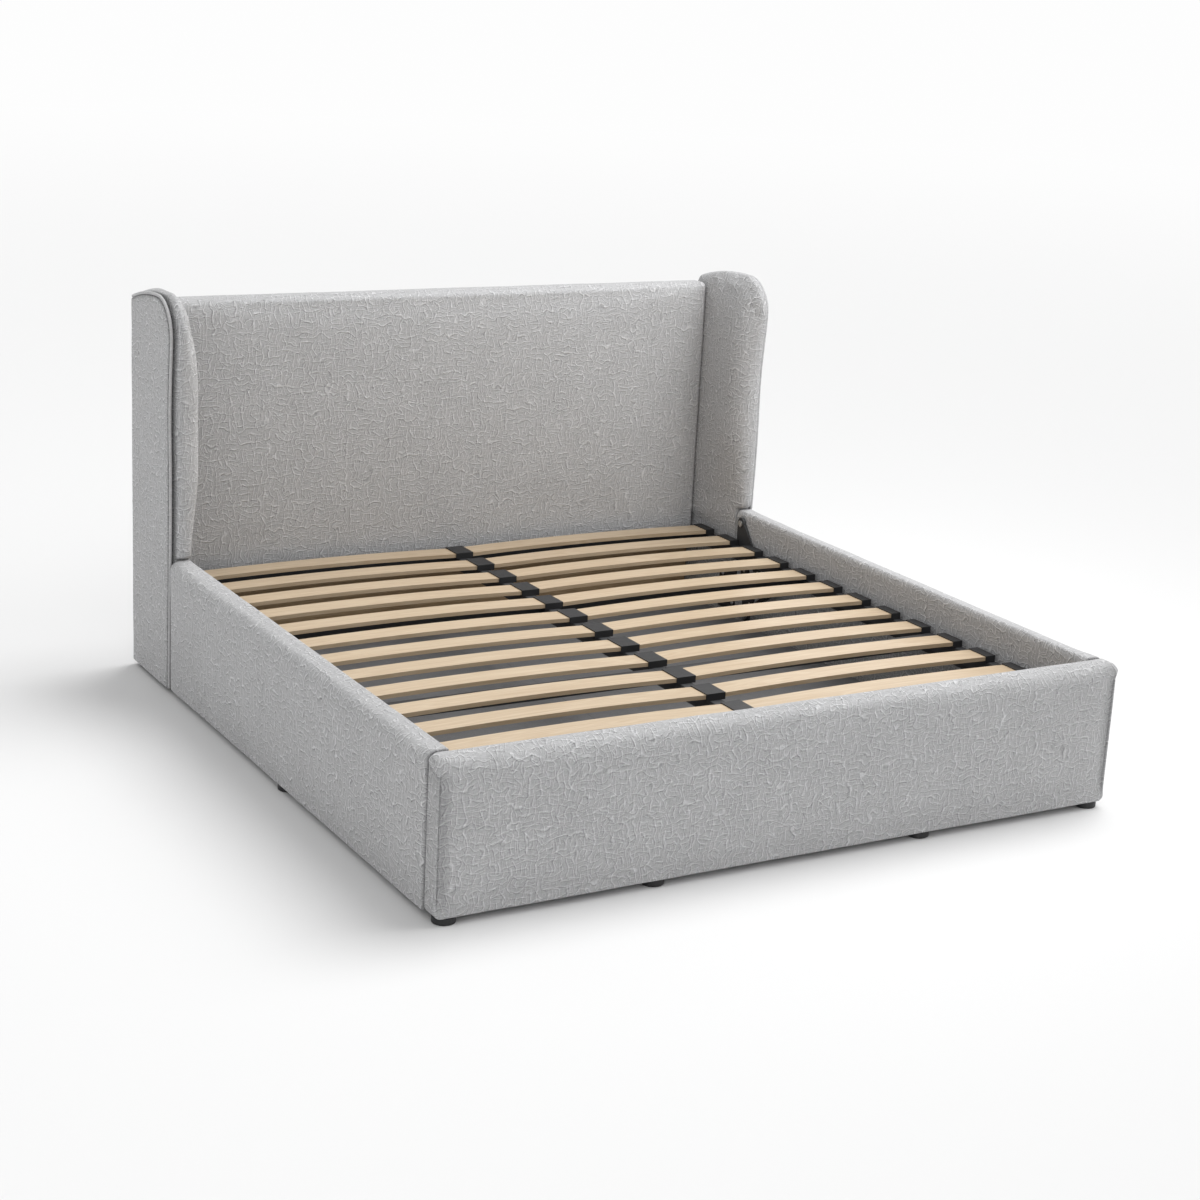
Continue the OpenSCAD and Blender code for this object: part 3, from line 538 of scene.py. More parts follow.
def unevenness(points, *layers):
    """Layers of slow noise, each given as height, scale and seed."""
    return sum(height * slow_noise(points, scale, seed) for height, scale, seed in layers)


def corner_points(mesh):
    found = np.empty(len(mesh.vertices) * 3)
    mesh.vertices.foreach_get("co", found)
    return found.reshape(-1, 3)


def ring_quads(ring_count, n):
    """Joins rings of n points to a tube that is closed at both ends."""
    quads = []
    for start in range(0, (ring_count - 1) * n, n):
        for k in range(n):
            a, b = start + k, start + (k + 1) % n
            quads.append((a, b, b + n, a + n))
    last = (ring_count - 1) * n
    return quads + [tuple(range(n))[::-1], tuple(range(last, last + n))]


# Padding as cloth: each pad is blown up from inside as cloth that is held where it is stapled

PADS = []
CLOTH_FRAMES = 20
HOLD_LEVELS = 10


def pad_later(made, free, cap):
    """Lists a pad for the simulation: how free each point is, and how far a point may move."""
    PADS.append((made, np.clip(1.0 - free, 0.0, 1.0), cap))


def hold_and_blow_up(made, held):
    group = made.vertex_groups.new(name="stapled")
    for level in range(1, HOLD_LEVELS + 1):
        chosen = np.nonzero(np.round(held * HOLD_LEVELS).astype(int) == level)[0]
        if len(chosen):
            group.add([int(i) for i in chosen], level / HOLD_LEVELS, "REPLACE")
    modifier = made.modifiers.new("padding", "CLOTH")
    settings = modifier.settings
    settings.quality = 4
    settings.mass = 0.35
    settings.tension_stiffness = 14.0
    settings.compression_stiffness = 10.0
    settings.shear_stiffness = 6.0
    settings.bending_stiffness = 1.5
    settings.air_damping = 2.0
    settings.use_pressure = True
    settings.uniform_pressure_force = 4.0
    settings.effector_weights.gravity = 0.0
    settings.vertex_group_mass = "stapled"
    settings.pin_stiffness = 1.0
    modifier.collision_settings.use_collision = False
    modifier.collision_settings.use_self_collision = False
    modifier.point_cache.frame_start = 1
    modifier.point_cache.frame_end = CLOTH_FRAMES


def keep_movement(made, graph, cap):
    """Moves a pad's points as the simulation did, but no farther than the cap."""
    before = corner_points(made.data)
    move = corner_points(made.evaluated_get(graph).data) - before
    length = np.linalg.norm(move, axis=1, keepdims=True)
    move = move * (cap * np.tanh(length / cap) / np.maximum(length, 1e-9))
    made.modifiers.remove(made.modifiers["padding"])
    made.data.vertices.foreach_set("co", (before + move).ravel())
    made.data.update()


def inflate_pads():
    for made, held, cap in PADS:
        hold_and_blow_up(made, held)
    for frame_number in range(1, CLOTH_FRAMES + 1):
        bpy.context.scene.frame_set(frame_number)
    graph = bpy.context.evaluated_depsgraph_get()
    for made, held, cap in PADS:
        keep_movement(made, graph, cap)
    bpy.context.scene.frame_set(1)
    for made, held, cap in PADS:
        if not made.name.startswith("wing"):
            modifier = made.modifiers.new("subdivision", "SUBSURF")
            modifier.levels = 1
            modifier.render_levels = 1


# Sizes that rails, footboard, headboard and wings share

HALF_W = 1.040
Y_FOOT = -1.090
Y_HEAD = 1.090
Z_LOW = 0.018
RAIL_TOP = 0.425
RAIL_IN = 0.975
RAIL_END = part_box("rail_left_cover")[1].y
FOOT_IN = -1.030
UNDER = 0.0165


def side_mirror(points, quads, side):
    points = points.copy()
    if side < 0:
        points[:, 0] *= -1.0
        quads = [tuple(reversed(q)) for q in quads]
    return points, quads


def share(values, low, high):
    """How far along from low to high, from 0 to 1."""
    return np.clip((values - low) / (high - low), 0, 1)


# Rails, left and right

RAIL_SWELL = 0.0036
RAIL_SECTION = ((0.012, 0.026), (0.004, 0.027))
RAIL_FOOT_END = (0.014, 0.008)
RAIL_HEAD_END = (0.013, 0.022)
RAIL_PAINTED_SHADE = 0.62


def make_rail(side, name):
    low = (RAIL_IN, FOOT_IN + 0.0024, UNDER)
    high = (HALF_W, RAIL_END, RAIL_TOP)
    xs = steps(low[0], high[0], 0.0026, 0.007, 0.024)
    ys = steps(low[1], high[1], 0.0026, 0.014, 0.030)
    zs = steps(low[2], high[2], 0.0026, 0.012, 0.030)
    plain, quads = box_skin(xs, ys, zs)
    points = soft_bar(plain, low, high, 1, RAIL_SECTION, RAIL_FOOT_END, RAIL_HEAD_END)
    # The inner face runs nearly straight to both ends, so that the board stays covered beside the joints
    at_ends = smoothstep(plain[:, 1], high[1] - 0.030, high[1] - 0.012)
    at_ends = np.maximum(at_ends, 1 - smoothstep(plain[:, 1], low[1] + 0.012, low[1] + 0.030))
    outside = smoothstep(plain[:, 0], RAIL_IN + 0.010, RAIL_IN + 0.026)
    outside = np.maximum(outside, smoothstep(plain[:, 2], 0.402, 0.414))
    points = points + (plain - points) * (0.88 * at_ends * (1 - outside))[:, None]
    normals = point_normals(points, quads)
    # The padding swells a little between the board's edges, unevenly, and draws in along the bottom hem
    across = share(points[:, 2], Z_LOW, RAIL_TOP)
    along = share(points[:, 1], low[1], high[1])
    swell = RAIL_SWELL * np.sin(np.pi * across) ** 0.7 * (np.clip(along * (1 - along) * 40, 0, 1))
    outer = np.clip(normals[:, 0], 0, 1)
    crest = np.clip(normals[:, 2], 0, 1) * smoothstep(points[:, 2], 0.36, 0.42)
    move = outer * (swell + unevenness(points, (0.0011, 7.0, 3 + side), (0.0006, 19.0, 5 + side)))
    move += crest * unevenness(points, (0.0012, 5.0, 9), (0.0006, 16.0, 2))
    points = points + normals * move[:, None]
    points[:, 0] = np.minimum(points[:, 0], HALF_W + 0.0045)
    points, quads = side_mirror(points, quads, side)
    made = make_piece(name + "_padding", points, quads, upholstery)
    from_foot = points[:, 1] - low[1]
    from_head = high[1] - points[:, 1]
    # Painted shade in the grooves at both ends, where the rail meets the footboard and the wing
    put_seams(made.data, RAIL_PAINTED_SHADE * (bell(from_foot, 0.0065) + bell(from_head, 0.0060)))
    free = smoothstep(np.abs(points[:, 0]) - RAIL_IN, 0.012, 0.045) * smoothstep(points[:, 2], 0.030, 0.075)
    free *= smoothstep(from_foot, 0.010, 0.060) * smoothstep(from_head, 0.008, 0.050)
    pad_later(made, free, 0.004)
    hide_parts(name + "_cover")


make_rail(-1, "rail_left")
make_rail(1, "rail_right")


# Footboard

FOOT_SWELL = 0.0042
FOOT_FALL = 0.0075
FOOT_ENDS = (0.005, 0.024)
FOOT_SOFT = ((0.034, 0.010), (0.004, 0.030))
FOOT_CRISP = ((0.018, 0.008), (0.004, 0.022))


def make_footboard():
    low = (-HALF_W, Y_FOOT, UNDER)
    high = (HALF_W, FOOT_IN, RAIL_TOP)
    xs = steps(low[0], high[0], 0.0022, 0.017, 0.040)
    ys = steps(low[1], high[1], 0.0024, 0.006, 0.026)
    zs = steps(low[2], high[2], 0.0024, 0.015, 0.040)
    points, quads = box_skin(xs, ys, zs)
    soft = soft_bar(points, low, high, 0, FOOT_SOFT, FOOT_ENDS, FOOT_ENDS)
    crisp = soft_bar(points, low, high, 0, FOOT_CRISP, FOOT_ENDS, FOOT_ENDS)
    inward = smoothstep(HALF_W - np.abs(points[:, 0]), 0.004, 0.085)[:, None]
    points = crisp * (1 - inward) + soft * inward
    normals = point_normals(points, quads)
    across = share(points[:, 2], Z_LOW, RAIL_TOP)
    from_end = HALF_W - np.abs(points[:, 0])
    front = np.clip(-normals[:, 1], 0, 1)
    above_hem = smoothstep(points[:, 2], 0.018, 0.07)
    # Full padding that falls away into a channel beside the folded corner
    fall = -FOOT_FALL * (1 - smoothstep(from_end, 0.010, 0.042)) * above_hem
    fall *= 1 - smoothstep(points[:, 2], RAIL_TOP - 0.060, RAIL_TOP - 0.015)
    swell = FOOT_SWELL * np.sin(np.pi * across) ** 0.6 * smoothstep(from_end, 0.020, 0.095)
    uneven = unevenness(points, (0.0012, 6.0, 21), (0.0006, 18.0, 22))
    crest = np.clip(normals[:, 2], 0, 1) * smoothstep(points[:, 2], 0.36, 0.42)
    move = front * (swell + fall + uneven * smoothstep(from_end, 0.0, 0.06))
    move += crest * unevenness(points, (0.0012, 5.0, 29), (0.0005, 17.0, 12))
    # Each end is a flat folded strip: its cloth is tucked under the top's, and its edges stand a little proud
    end = np.clip(np.abs(normals[:, 0]) - 0.6, 0, 0.4) / 0.4
    below = RAIL_TOP - 0.040 - points[:, 2] + 0.30 * (points[:, 1] - Y_FOOT)
    depth = np.maximum(below, 0)
    tucked = smoothstep(below, 0.0, 0.0030)
    edges = bell(points[:, 1] - Y_FOOT - 0.006, 0.004) + bell(FOOT_IN - points[:, 1] - 0.009, 0.004)
    move += end * (0.0012 - tucked * (0.0018 + 0.0022 * np.exp(-depth / 0.030)))
    move += end * tucked * 0.0012 * edges
    # Painted shade: darker in the channel beside each folded corner and under the fold of each end strip
    low_part = above_hem * (1 - smoothstep(points[:, 2], RAIL_TOP - 0.055, RAIL_TOP - 0.020))
    seam = front * low_part * (0.24 * bell(from_end - 0.019, 0.014) + 0.34 * bell(from_end - 0.0080, 0.0034))
    seam += end * tucked * (0.30 * np.exp(-depth / 0.022) + 0.10)
    points = points + normals * move[:, None]
    points[:, 1] = np.maximum(points[:, 1], Y_FOOT - 0.0045)
    made = make_piece("footboard_padding", points, quads, upholstery)
    put_seams(made.data, seam)
    free = smoothstep(FOOT_IN - points[:, 1], 0.012, 0.040) * smoothstep(points[:, 2], 0.028, 0.075)
    free *= smoothstep(HALF_W - np.abs(points[:, 0]), 0.018, 0.060)
    pad_later(made, free, 0.005)
    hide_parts("footboard_cover")


make_footboard()


# Headboard

WING_IN = 0.966
HEAD_FACE = 1.010
HEAD_BACK = 1.0842
HEAD_TOP = 1.160
HEAD_SWELL = 0.0085
PAD_LOW = 0.230


def make_headboard():
    half = WING_IN - 0.0004
    low = (-half, HEAD_FACE, PAD_LOW)
    high = (half, HEAD_BACK, HEAD_TOP)
    xs = steps(low[0], high[0], 0.0032, 0.019, 0.045)
    ys = steps(low[1], high[1], 0.0030, 0.008, 0.034)
    zs = steps(low[2], high[2], 0.0032, 0.019, 0.045)
    points, quads = box_skin(xs, ys, zs)
    points = rounded(points, low, high, (0.020, 0.024, 0.020), (0.020, 0.012, 0.016))
    normals = point_normals(points, quads)
    front = np.clip(-normals[:, 1], 0, 1)
    top = np.clip(normals[:, 2], 0, 1)
    across = share(points[:, 0], -half, half)
    upward = share(points[:, 2], PAD_LOW, HEAD_TOP)
    swell = HEAD_SWELL * (np.sin(np.pi * across) * np.sin(np.pi * upward)) ** 0.45
    move = front * (swell + unevenness(points, (0.0016, 3.5, 41), (0.0007, 12.0, 42)))
    move += top * unevenness(points, (0.0012, 6.0, 43))
    points = points + normals * move[:, None]
    made = make_piece("headboard_padding", points, quads, upholstery)
    from_end = half - np.abs(points[:, 0])
    # Painted shade in the grooves at both ends, where the headboard meets the wings
    put_seams(made.data, 0.40 * bell(from_end, 0.006))
    free = smoothstep(1.050 - points[:, 1], 0.0, 0.030) * smoothstep(from_end, 0.006, 0.050)
    free *= smoothstep(points[:, 2], PAD_LOW + 0.02, PAD_LOW + 0.10)
    pad_later(made, free, 0.007)
    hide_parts("headboard_cover")


make_headboard()


# Wings: outline of the front and top edge seen from the side

WING_FRONT = 0.768
WING_LEAN = 0.028
WING_TOP = 1.205
WING_CORNER = 0.120
WING_FALL = 0.038
WING_NOSE = 0.022
WING_SWELL = 0.010
WING_OUT = 1.0297
WING_FULLNESS = 0.021
NOSE_X = 1.001
CORD_X = 1.0258
FRONT_TOP = WING_FRONT - WING_LEAN
CORNER_Z = WING_TOP - WING_CORNER
ARCH_START = FRONT_TOP + WING_CORNER
ARCH_RUN = Y_HEAD - ARCH_START
FRONT_LEVELS = np.concatenate([
    np.linspace(UNDER, 0.410, 14),
    (0.4200, 0.4255, 0.4270, 0.4280, 0.4295, 0.4325, 0.4375, 0.4450, 0.4580),
    np.linspace(0.475, CORNER_Z, 30)[:-1],
])


def wing_edge(inset, levels=FRONT_LEVELS, corner_count=26, arch_count=22, y_end=Y_HEAD, forward=0.0):
    """Points (y, z) along the front and top edge, drawn in by inset and pushed forward."""
    r = max(WING_CORNER - inset, 0.004)
    cy = FRONT_TOP + inset + r
    cz = WING_TOP - inset - r
    out = []
    for z in levels:
        lean = WING_LEAN * (z - Z_LOW) / (cz - Z_LOW)
        out.append((WING_FRONT + inset - lean - forward, z))
    for i in range(corner_count):
        a = math.pi / 2 * i / corner_count
        out.append((cy - r * math.cos(a) - forward, cz + r * math.sin(a)))
    for i in range(arch_count + 1):
        part = i / arch_count
        y = cy + (y_end - cy) * part
        t = max((y - ARCH_START) / ARCH_RUN, 0.0)
        out.append((y - forward * (1 - part) ** 2, WING_TOP - inset - WING_FALL * t * t))
    return np.array(out)


def front_sway(y, z):
    """The front edge is drawn back a little below the flare at the top."""
    return 0.012 * np.exp(-((z - 0.88) / 0.17) ** 2) * smoothstep(Y_HEAD - y, 0.0, 0.25)


def wing_top_at(y):
    t = np.clip((y - ARCH_START) / ARCH_RUN, 0, 1)
    arch = WING_TOP - WING_FALL * t * t
    cut = np.clip(ARCH_START - y, 0, WING_CORNER)
    return arch - (WING_CORNER - np.sqrt(np.maximum(WING_CORNER ** 2 - cut ** 2, 0)))


def edge_row(x, edge):
    return np.column_stack([np.full(len(edge), x), edge[:, 0], edge[:, 1]])


def fan_rows(rows, x, y_back, count):
    """Continues the last row as a face that runs to the upright back edge."""
    last = rows[-1]
    n = last.shape[0]
    back_z = np.interp(np.linspace(0, 1, n), [0.0, 0.52, 0.80, 1.0], [UNDER, 0.80, 0.96, last[-1, 2]])
    target = np.column_stack([np.full(n, x), np.full(n, y_back), back_z])
    for t in np.linspace(0, 1, count)[1:]:
        rows.append(last * (1 - t) + target * t)
    return back_z


def grid_quads(n_rows, n_cols):
    """Quads of a grid of points, and those that join its first and last row to one more row behind them."""
    quads = []
    base = n_rows * n_cols
    for c in range(n_cols - 1):
        quads.append((c, base + c, base + c + 1, c + 1))
        a = (n_rows - 1) * n_cols + c
        quads.append((a, a + 1, base + c + 1, base + c))
    for r in range(n_rows - 1):
        for c in range(n_cols - 1):
            a = r * n_cols + c
            quads.append((a, a + 1, a + n_cols + 1, a + n_cols))
    return quads


def grid_piece(name, flat, shape, side, closing_row, crease, seam):
    points, quads = side_mirror(np.vstack([flat, closing_row]), grid_quads(*shape), side)
    mesh = bpy.data.meshes.new(name)
    mesh.from_pydata([tuple(p) for p in points], [], quads)
    put_seams(mesh, seam(np.abs(points[:, 0])))
    sculpt = bmesh.new()
    sculpt.from_mesh(mesh)
    bmesh.ops.remove_doubles(sculpt, verts=sculpt.verts, dist=0.00005)
    bmesh.ops.holes_fill(sculpt, edges=[e for e in sculpt.edges if e.is_boundary], sides=0)
    bmesh.ops.recalc_face_normals(sculpt, faces=sculpt.faces)
    sculpt.to_mesh(mesh)
    sculpt.free()
    made = add_object(name, mesh, upholstery, "base")
    mesh.set_sharp_from_angle(angle=math.radians(crease))
    return made


def wing_profile():
    """Plan of the padding from its board round the nose to the inner face: x, drawn in, pushed forward."""
    profile = [(WING_OUT, 0.034, 0.0), (WING_OUT, 0.022, 0.0), (WING_OUT, 0.015, 0.0),
               (WING_OUT - 0.0007, 0.0105, 0.0), (WING_OUT - 0.0020, 0.0070, 0.0)]
    for i in range(11):
        a = math.pi / 2 * i / 10
        out = math.sin(a) ** 0.9
        x = NOSE_X + (CORD_X - NOSE_X) * math.cos(a) ** 0.9
        profile.append((x, 0.0045 * math.cos(a) - WING_SWELL * out, WING_NOSE * out))
    for i in range(1, 19):
        a = math.pi / 2 * i / 18
        back = 1 - math.cos(a) ** 0.72
        x = NOSE_X - (NOSE_X - WING_IN) * math.sin(a) ** 0.72
        profile.append((x, 0.110 * back - WING_SWELL * (1 - back), WING_NOSE * (1 - back)))
    return profile


def make_wing(side, name):
    rows = [edge_row(x, wing_edge(inset, forward=forward)) for x, inset, forward in wing_profile()]
    back_z = fan_rows(rows, WING_IN, Y_HEAD + 0.001, 22)
    grid = np.array(rows)
    n_cols = grid.shape[1]
    flat = grid.reshape(-1, 3)
    flat[:, 1] += front_sway(flat[:, 1], flat[:, 2])
    # The nose ends in a soft fold that rests on the rail, and below it the pad stops at the rail's end
    lift = np.clip((flat[:, 2] - 0.4272) / 0.0180, 0, 1)
    reach = np.sqrt(np.clip(1 - (1 - lift) ** 2, 0, 1))
    stop = RAIL_END + 0.0010
    flat[:, 1] = np.where(flat[:, 1] < stop, stop + (flat[:, 1] - stop) * reach, flat[:, 1])
    # The padding is fullest a hand's width behind its front edge, above the rails
    depth_in = flat[:, 1] - (FRONT_TOP - WING_NOSE - WING_SWELL)
    inner = smoothstep(NOSE_X + 0.016 - flat[:, 0], 0.0, 0.040)
    high = smoothstep(flat[:, 2], 0.44, 0.70)
    full = bell(depth_in - 0.080, 0.100) * WING_FULLNESS + 0.001
    from_top = wing_top_at(flat[:, 1]) - flat[:, 2]
    flat[:, 0] -= inner * high * full * (0.10 + 0.90 * smoothstep(from_top, 0.0, 0.24))
    # Toward its top edge the padding thins, so that it rounds over in a wide arc
    thin = inner * (1 - smoothstep(from_top, -0.01, 0.13)) * (1 - smoothstep(flat[:, 1], 0.86, 1.00))
    flat[:, 0] += 0.012 * thin
    # It stays clear of its board, and below the platform it lies close to it
    front_line = WING_FRONT - WING_LEAN * (flat[:, 2] - Z_LOW) / (CORNER_Z - Z_LOW)
    over_board = (flat[:, 0] < 0.990) & (from_top > 0.024) & (flat[:, 1] > front_line + 0.022)
    flat[:, 0] = np.where(over_board, np.minimum(flat[:, 0], 0.9755), flat[:, 0])
    low_in = smoothstep(WING_OUT - flat[:, 0], 0.020, 0.055) * (1 - smoothstep(flat[:, 2], 0.33, 0.37))
    low_in *= 1 - smoothstep(flat[:, 1], 1.062, 1.076)
    flat[:, 0] += low_in * 0.0095
    # Below the nose the cloth covers the board's inner face up to its front edge
    cover_x = 0.9764 + 0.0060 * (1 - smoothstep(flat[:, 1], stop, 0.7690))
    cover_x = cover_x + 0.012 * smoothstep(flat[:, 2], 0.400, 0.425)
    flat[:, 0] = np.where(flat[:, 0] < 0.990, np.minimum(flat[:, 0], cover_x), flat[:, 0])
    uneven = unevenness(flat, (0.0013, 6.0, 60 + side), (0.0006, 16.0, 62))
    flat[:, 0] += inner * uneven
    flat[:, 1] += (1 - inner) * smoothstep(WING_OUT - flat[:, 0], 0.004, 0.02) * high * uneven
    # Outside face behind the side panel closes the pad round its board
    outside = np.column_stack([np.full(n_cols, WING_OUT), np.full(n_cols, Y_HEAD + 0.001), back_z])
    # The pad is given painted shade next to the piping cord
    made = grid_piece(name + "_padding", flat, grid.shape[:2], side, outside, 55,
                      lambda x: 0.55 * smoothstep(x, 1.0195, 1.0262))
    points = corner_points(made.data)
    free = smoothstep(WING_OUT - np.abs(points[:, 0]), 0.010, 0.030) * smoothstep(points[:, 2], 0.455, 0.52)
    free *= smoothstep(1.005 - points[:, 1], 0.0, 0.06)
    pad_later(made, free, 0.005)
    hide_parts(name + "_cover")


# Side panels: flat cloth with a rolled rim that dips to the piping

PANEL_INSET = 0.0083
PANEL_LOW = 1.0302
PANEL_HIGH = 1.0405
PANEL_PROFILE = ((PANEL_LOW, 0.0), (PANEL_HIGH - 0.004, 0.0), (PANEL_HIGH - 0.0017, 0.0006),
                 (PANEL_HIGH - 0.0005, 0.0022), (PANEL_HIGH, 0.0050), (PANEL_HIGH + 0.0002, 0.012),
                 (PANEL_HIGH + 0.0006, 0.026))
# Painted shade on the rim, darkest where it dips to the piping
PANEL_PAINTED_SHADE = (0.70, 0.70, 0.66, 0.55, 0.30, 0.06, 0.0)


def make_side_panel(side, name):
    rows = [edge_row(x, wing_edge(PANEL_INSET + more)) for x, more in PANEL_PROFILE]
    back_z = fan_rows(rows, PANEL_HIGH + 0.0002, Y_HEAD + 0.0005, 24)
    grid = np.array(rows)
    n_rows, n_cols = grid.shape[:2]
    flat = grid.reshape(-1, 3)
    flat[:, 1] += front_sway(flat[:, 1], flat[:, 2])
    face = smoothstep(flat[:, 0], PANEL_HIGH - 0.001, PANEL_HIGH)
    flat[:, 0] += face * (0.0006 + unevenness(flat, (0.0008, 7.0, 70 + side), (0.0004, 20.0, 71)))
    flat[:, 0] = np.minimum(flat[:, 0], 1.0440)
    # Painted shade along the first rows of the rim
    rim_painted_shade = np.zeros((n_rows + 1, n_cols))
    rim_painted_shade[:len(PANEL_PAINTED_SHADE)] = np.array(PANEL_PAINTED_SHADE)[:, None]
    inside = np.column_stack([np.full(n_cols, PANEL_LOW), np.full(n_cols, Y_HEAD + 0.0005), back_z])
    made = grid_piece(name + "_cloth", flat, grid.shape[:2], side, inside, 40, lambda x: rim_painted_shade.ravel())
    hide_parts(name)


# Piping: one cord on each wing, along the seam of the side panel

CORD_RADIUS = 0.0047
CORD_CENTRE = 1.0366
CORD_INSET = 0.0034


def tube_points(path, radius, sides):
    """A tube round a path of points, closed at both ends."""
    path = np.array(path, float)
    points = []
    tangents = np.gradient(path, axis=0)
    tangents /= np.linalg.norm(tangents, axis=1, keepdims=True)
    for p, t in zip(path, tangents):
        side = np.array([0.0, 0.0, 1.0]) if abs(t[0]) > 0.9 else np.array([1.0, 0.0, 0.0])
        other = np.cross(t, side)
        other /= np.linalg.norm(other)
        side = np.cross(other, t)
        for k in range(sides):
            a = 2 * math.pi * k / sides
            points.append(p + radius * (math.cos(a) * side + math.sin(a) * other))
    return np.array(points), ring_quads(len(path), sides)


def make_piping(side, name):
    levels = np.linspace(UNDER + 0.001, CORNER_Z, 220)[:-1]
    path = edge_row(CORD_CENTRE, wing_edge(CORD_INSET, levels, 60, 70, Y_HEAD - 0.002))
    path[:, 1] += front_sway(path[:, 1], path[:, 2])
    points, quads = side_mirror(*tube_points(path, CORD_RADIUS, 14), side)
    made = make_piece(name + "_cord", points, quads, piping_cloth)
    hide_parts(name)


for side, name in ((-1, "wing_left"), (1, "wing_right")):
    make_wing(side, name)
    make_side_panel(side, name + "_side_panel")
    make_piping(side, name + "_piping")


# Back panel: board wrapped in plain cloth, its hems turned round the edges

def make_back_panel():
    low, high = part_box("headboard_back")
    xs = steps(low.x, high.x, 0.0016, 0.022, 0.018)
    ys = steps(low.y, high.y, 0.0009, 0.0012, 0.0020)
    zs = steps(low.z, high.z, 0.0016, 0.022, 0.018)
    points, quads = box_skin(xs, ys, zs)
    ends = (0.0012, 0.010)
    points = soft_bar(points, tuple(low), tuple(high), 0, ((0.0012, 0.0018), (0.003, 0.010)), ends, ends)
    back = smoothstep(points[:, 1], high.y - 0.0020, high.y - 0.0004)
    edge = np.minimum(np.minimum(points[:, 0] - low.x, high.x - points[:, 0]),
                      np.minimum(points[:, 2] - low.z, high.z - points[:, 2]))
    waves = unevenness(points, (0.0009, 2.6, 81), (0.0005, 9.0, 82))
    move = back * (waves * smoothstep(edge, 0.004, 0.05) - 0.0007 * bell(edge - 0.026, 0.0022))
    points[:, 1] += np.minimum(move, 0.0010)
    made = make_piece("headboard_back_cloth", points, quads, back_cloth)
    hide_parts("headboard_back")


make_back_panel()


# Pull strap: a doubled webbing loop, stitched down on the foot tube

STRAP_THICK = 0.0022
STRAP_BEND = 0.0052
STRAP_SETBACK = 0.0016
STITCH_STEP = 0.0034
STITCH_LENGTH = 0.0024
STITCH_RADIUS = 0.00035


def ribbon_points(path, half_width, thickness):
    """A flat strip along a path of (y, z), with rounded selvedges."""
    path = np.array(path, float)
    tangent = np.gradient(path, axis=0)
    tangent /= np.linalg.norm(tangent, axis=1, keepdims=True)
    normal = np.column_stack([-tangent[:, 1], tangent[:, 0]])
    section = []
    round_edge = thickness / 2
    for start, middle in ((-math.pi / 2, half_width - round_edge), (math.pi / 2, round_edge - half_width)):
        for i in range(7):
            a = start + math.pi * i / 6
            section.append((middle + round_edge * math.cos(a), round_edge * math.sin(a)))
    points = [(x, y + ny * t, z + nz * t) for (y, z), (ny, nz) in zip(path, normal) for x, t in section]
    return np.array(points), ring_quads(len(path), len(section))


def strap_path(low, high):
    """From the stitched tab round a bend, up, over the loop's top and down again."""
    tab_z = low.z + STRAP_THICK * 0.55
    front_y = low.y + STRAP_SETBACK
    loop_z = high.z - 0.006
    path = [(y, tab_z) for y in np.linspace(high.y - 0.002, front_y + STRAP_BEND, 12)]
    for i in range(1, 9):
        a = math.pi / 2 * i / 8
        path.append((front_y + STRAP_BEND * (1 - math.sin(a)), tab_z + STRAP_BEND * (1 - math.cos(a))))
    for z in np.linspace(tab_z + STRAP_BEND, loop_z, 26)[1:]:
        path.append((front_y + 0.0006 * math.sin((z - low.z) * 60.0), z))
    top_y = path[-1][0]
    for i in range(1, 15):
        a = math.pi * i / 14
        path.append((top_y + 0.0034 * (1 - math.cos(a)), loop_z + 0.0046 * math.sin(a)))
    for z in np.linspace(loop_z, low.z + 0.022, 20)[1:]:
        gap = 0.0068 * min(1.0, max(0.0, (z - low.z - 0.020) / 0.035)) ** 0.8
        path.append((top_y + max(gap, STRAP_THICK * 1.05), z))
    return path


def make_pull_strap():
    low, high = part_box("pull_strap")
    half = 0.5 * (high.x - low.x)
    points, quads = ribbon_points(strap_path(low, high), half, STRAP_THICK)
    made = make_piece("pull_strap_webbing", points, quads, black_webbing, body="platform")
    made.data.set_sharp_from_angle(angle=math.radians(60))
    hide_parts("pull_strap")
    # Two rows of stitches through both layers near the foot of the loop
    points = []
    quads = []
    face_y = low.y + STRAP_SETBACK - STRAP_THICK / 2
    for z in (low.z + 0.026, low.z + 0.034):
        for x in np.arange(-half + 0.004, half - 0.004, STITCH_STEP):
            path = [(x + STITCH_LENGTH * t, face_y - 0.0002 * math.sin(math.pi * t), z)
                    for t in np.linspace(0, 1, 5)]
            tube, faces = tube_points(path, STITCH_RADIUS, 6)
            quads.extend(tuple(v + len(points) for v in face) for face in faces)
            points.extend(tube)
    make_piece("pull_strap_stitches", np.array(points), quads, stitch_thread, body="platform")


make_pull_strap()

inflate_pads()


# Studio: white floor, even surround and soft lamps

SURROUND = 0.545
WHITE = 0.985
WHITE_COLOUR = (1.0, 1.0, 1.0, 1.0)
FLOOR_SIZE = 300.0
FLOOR_GREY = 0.80


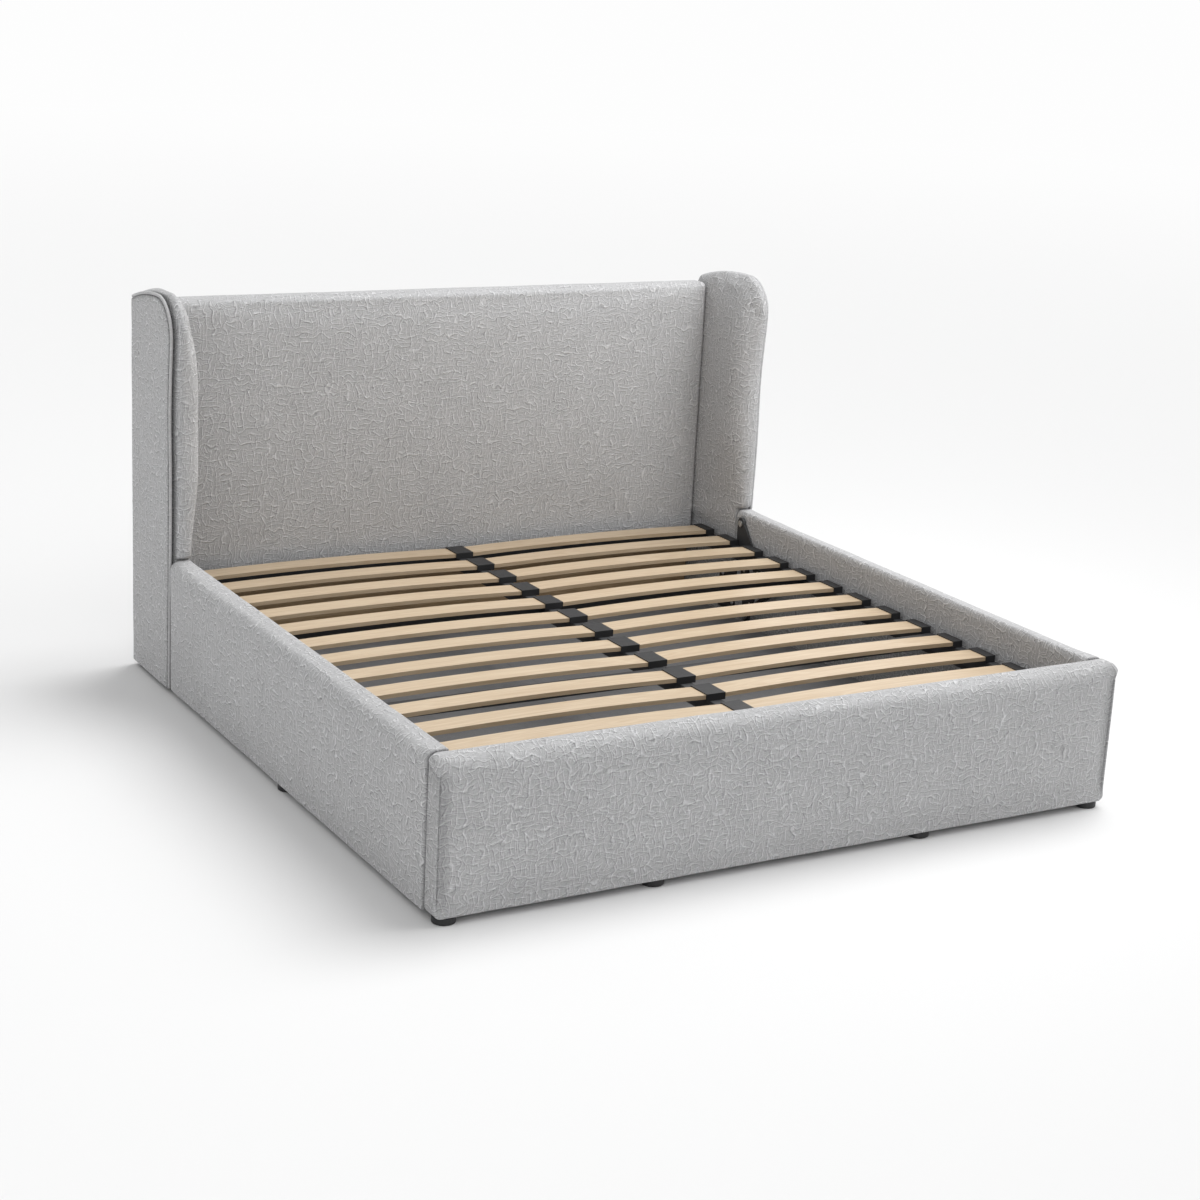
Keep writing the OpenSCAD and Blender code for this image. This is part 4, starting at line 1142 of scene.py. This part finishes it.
def make_world():
    world = bpy.data.worlds.new("studio")
    bpy.context.scene.world = world
    world.use_nodes = True
    tree = Tree(world.node_tree)
    output = tree.add("ShaderNodeOutputWorld")
    heading = tree.split(tree.add("ShaderNodeTexCoord").outputs["Generated"])
    level = tree.span(heading[2], 0.0, 0.50, 0.58 * SURROUND, 1.12 * SURROUND, smooth=True)
    even = tree.fill(tree.add("ShaderNodeBackground"), WHITE_COLOUR, level)
    white = tree.fill(tree.add("ShaderNodeBackground"), WHITE_COLOUR, WHITE)
    path = tree.add("ShaderNodeLightPath").outputs
    seen = tree.math("MAXIMUM", path["Is Camera Ray"], path["Is Glossy Ray"])
    seen = tree.math("MAXIMUM", seen, path["Is Transmission Ray"])
    tree.link(tree.mix_shaders(seen, even.outputs[0], white.outputs[0]), output.inputs[0])


def make_floor():
    mesh = bpy.data.meshes.new("floor")
    corners = [(x * FLOOR_SIZE, y * FLOOR_SIZE, 0) for x, y in ((-1, -1), (1, -1), (1, 1), (-1, 1))]
    mesh.from_pydata(corners, [], [(0, 1, 2, 3)])
    floor = bpy.data.objects.new("floor", mesh)
    bpy.context.scene.collection.objects.link(floor)
    tree = Surface("studio_floor")
    grey = (FLOOR_GREY, FLOOR_GREY, FLOOR_GREY, 1.0)
    tree.fill(tree.shader, Base_Color=grey, Roughness=0.9, Specular_IOR_Level=0.0)
    # Far away the floor turns into the white behind it
    far = tree.fill(tree.add("ShaderNodeVectorMath", operation="LENGTH"), tree.place()).outputs["Value"]
    glow = tree.fill(tree.add("ShaderNodeEmission"), WHITE_COLOUR, WHITE)
    amount = tree.span(far, 5.0, 22.0, smooth=True)
    tree.link(tree.mix_shaders(amount, tree.shader.outputs[0], glow.outputs[0]), tree.output.inputs[0])
    mesh.materials.append(tree.material)


def add_lamp(name, kind, energy, direction, place=(0.0, 0.0, 0.0)):
    """A lamp that shines against the given direction."""
    data = bpy.data.lights.new(name, kind)
    data.energy = energy
    lamp = bpy.data.objects.new(name, data)
    lamp.location = place
    lamp.rotation_euler = Vector(direction).to_track_quat("Z", "Y").to_euler()
    bpy.context.scene.collection.objects.link(lamp)
    return data


def make_sun(name, direction, strength, spread):
    add_lamp(name, "SUN", strength, direction).angle = math.radians(spread)


def make_softbox(name, place, target, power, size):
    add_lamp(name, "AREA", power, Vector(place) - Vector(target), place).size = size


make_world()
make_floor()
make_sun("overhead", (0.47, 0.12, 0.87), 1.78, 42.0)
make_sun("front_fill", (-0.36, -0.70, 0.62), 0.36, 46.0)
make_softbox("head_fill", (1.15, -0.45, 2.4), (-0.1, 1.0, 0.80), 24.0, 1.5)

scene = bpy.context.scene
scene.view_settings.view_transform = "Standard"
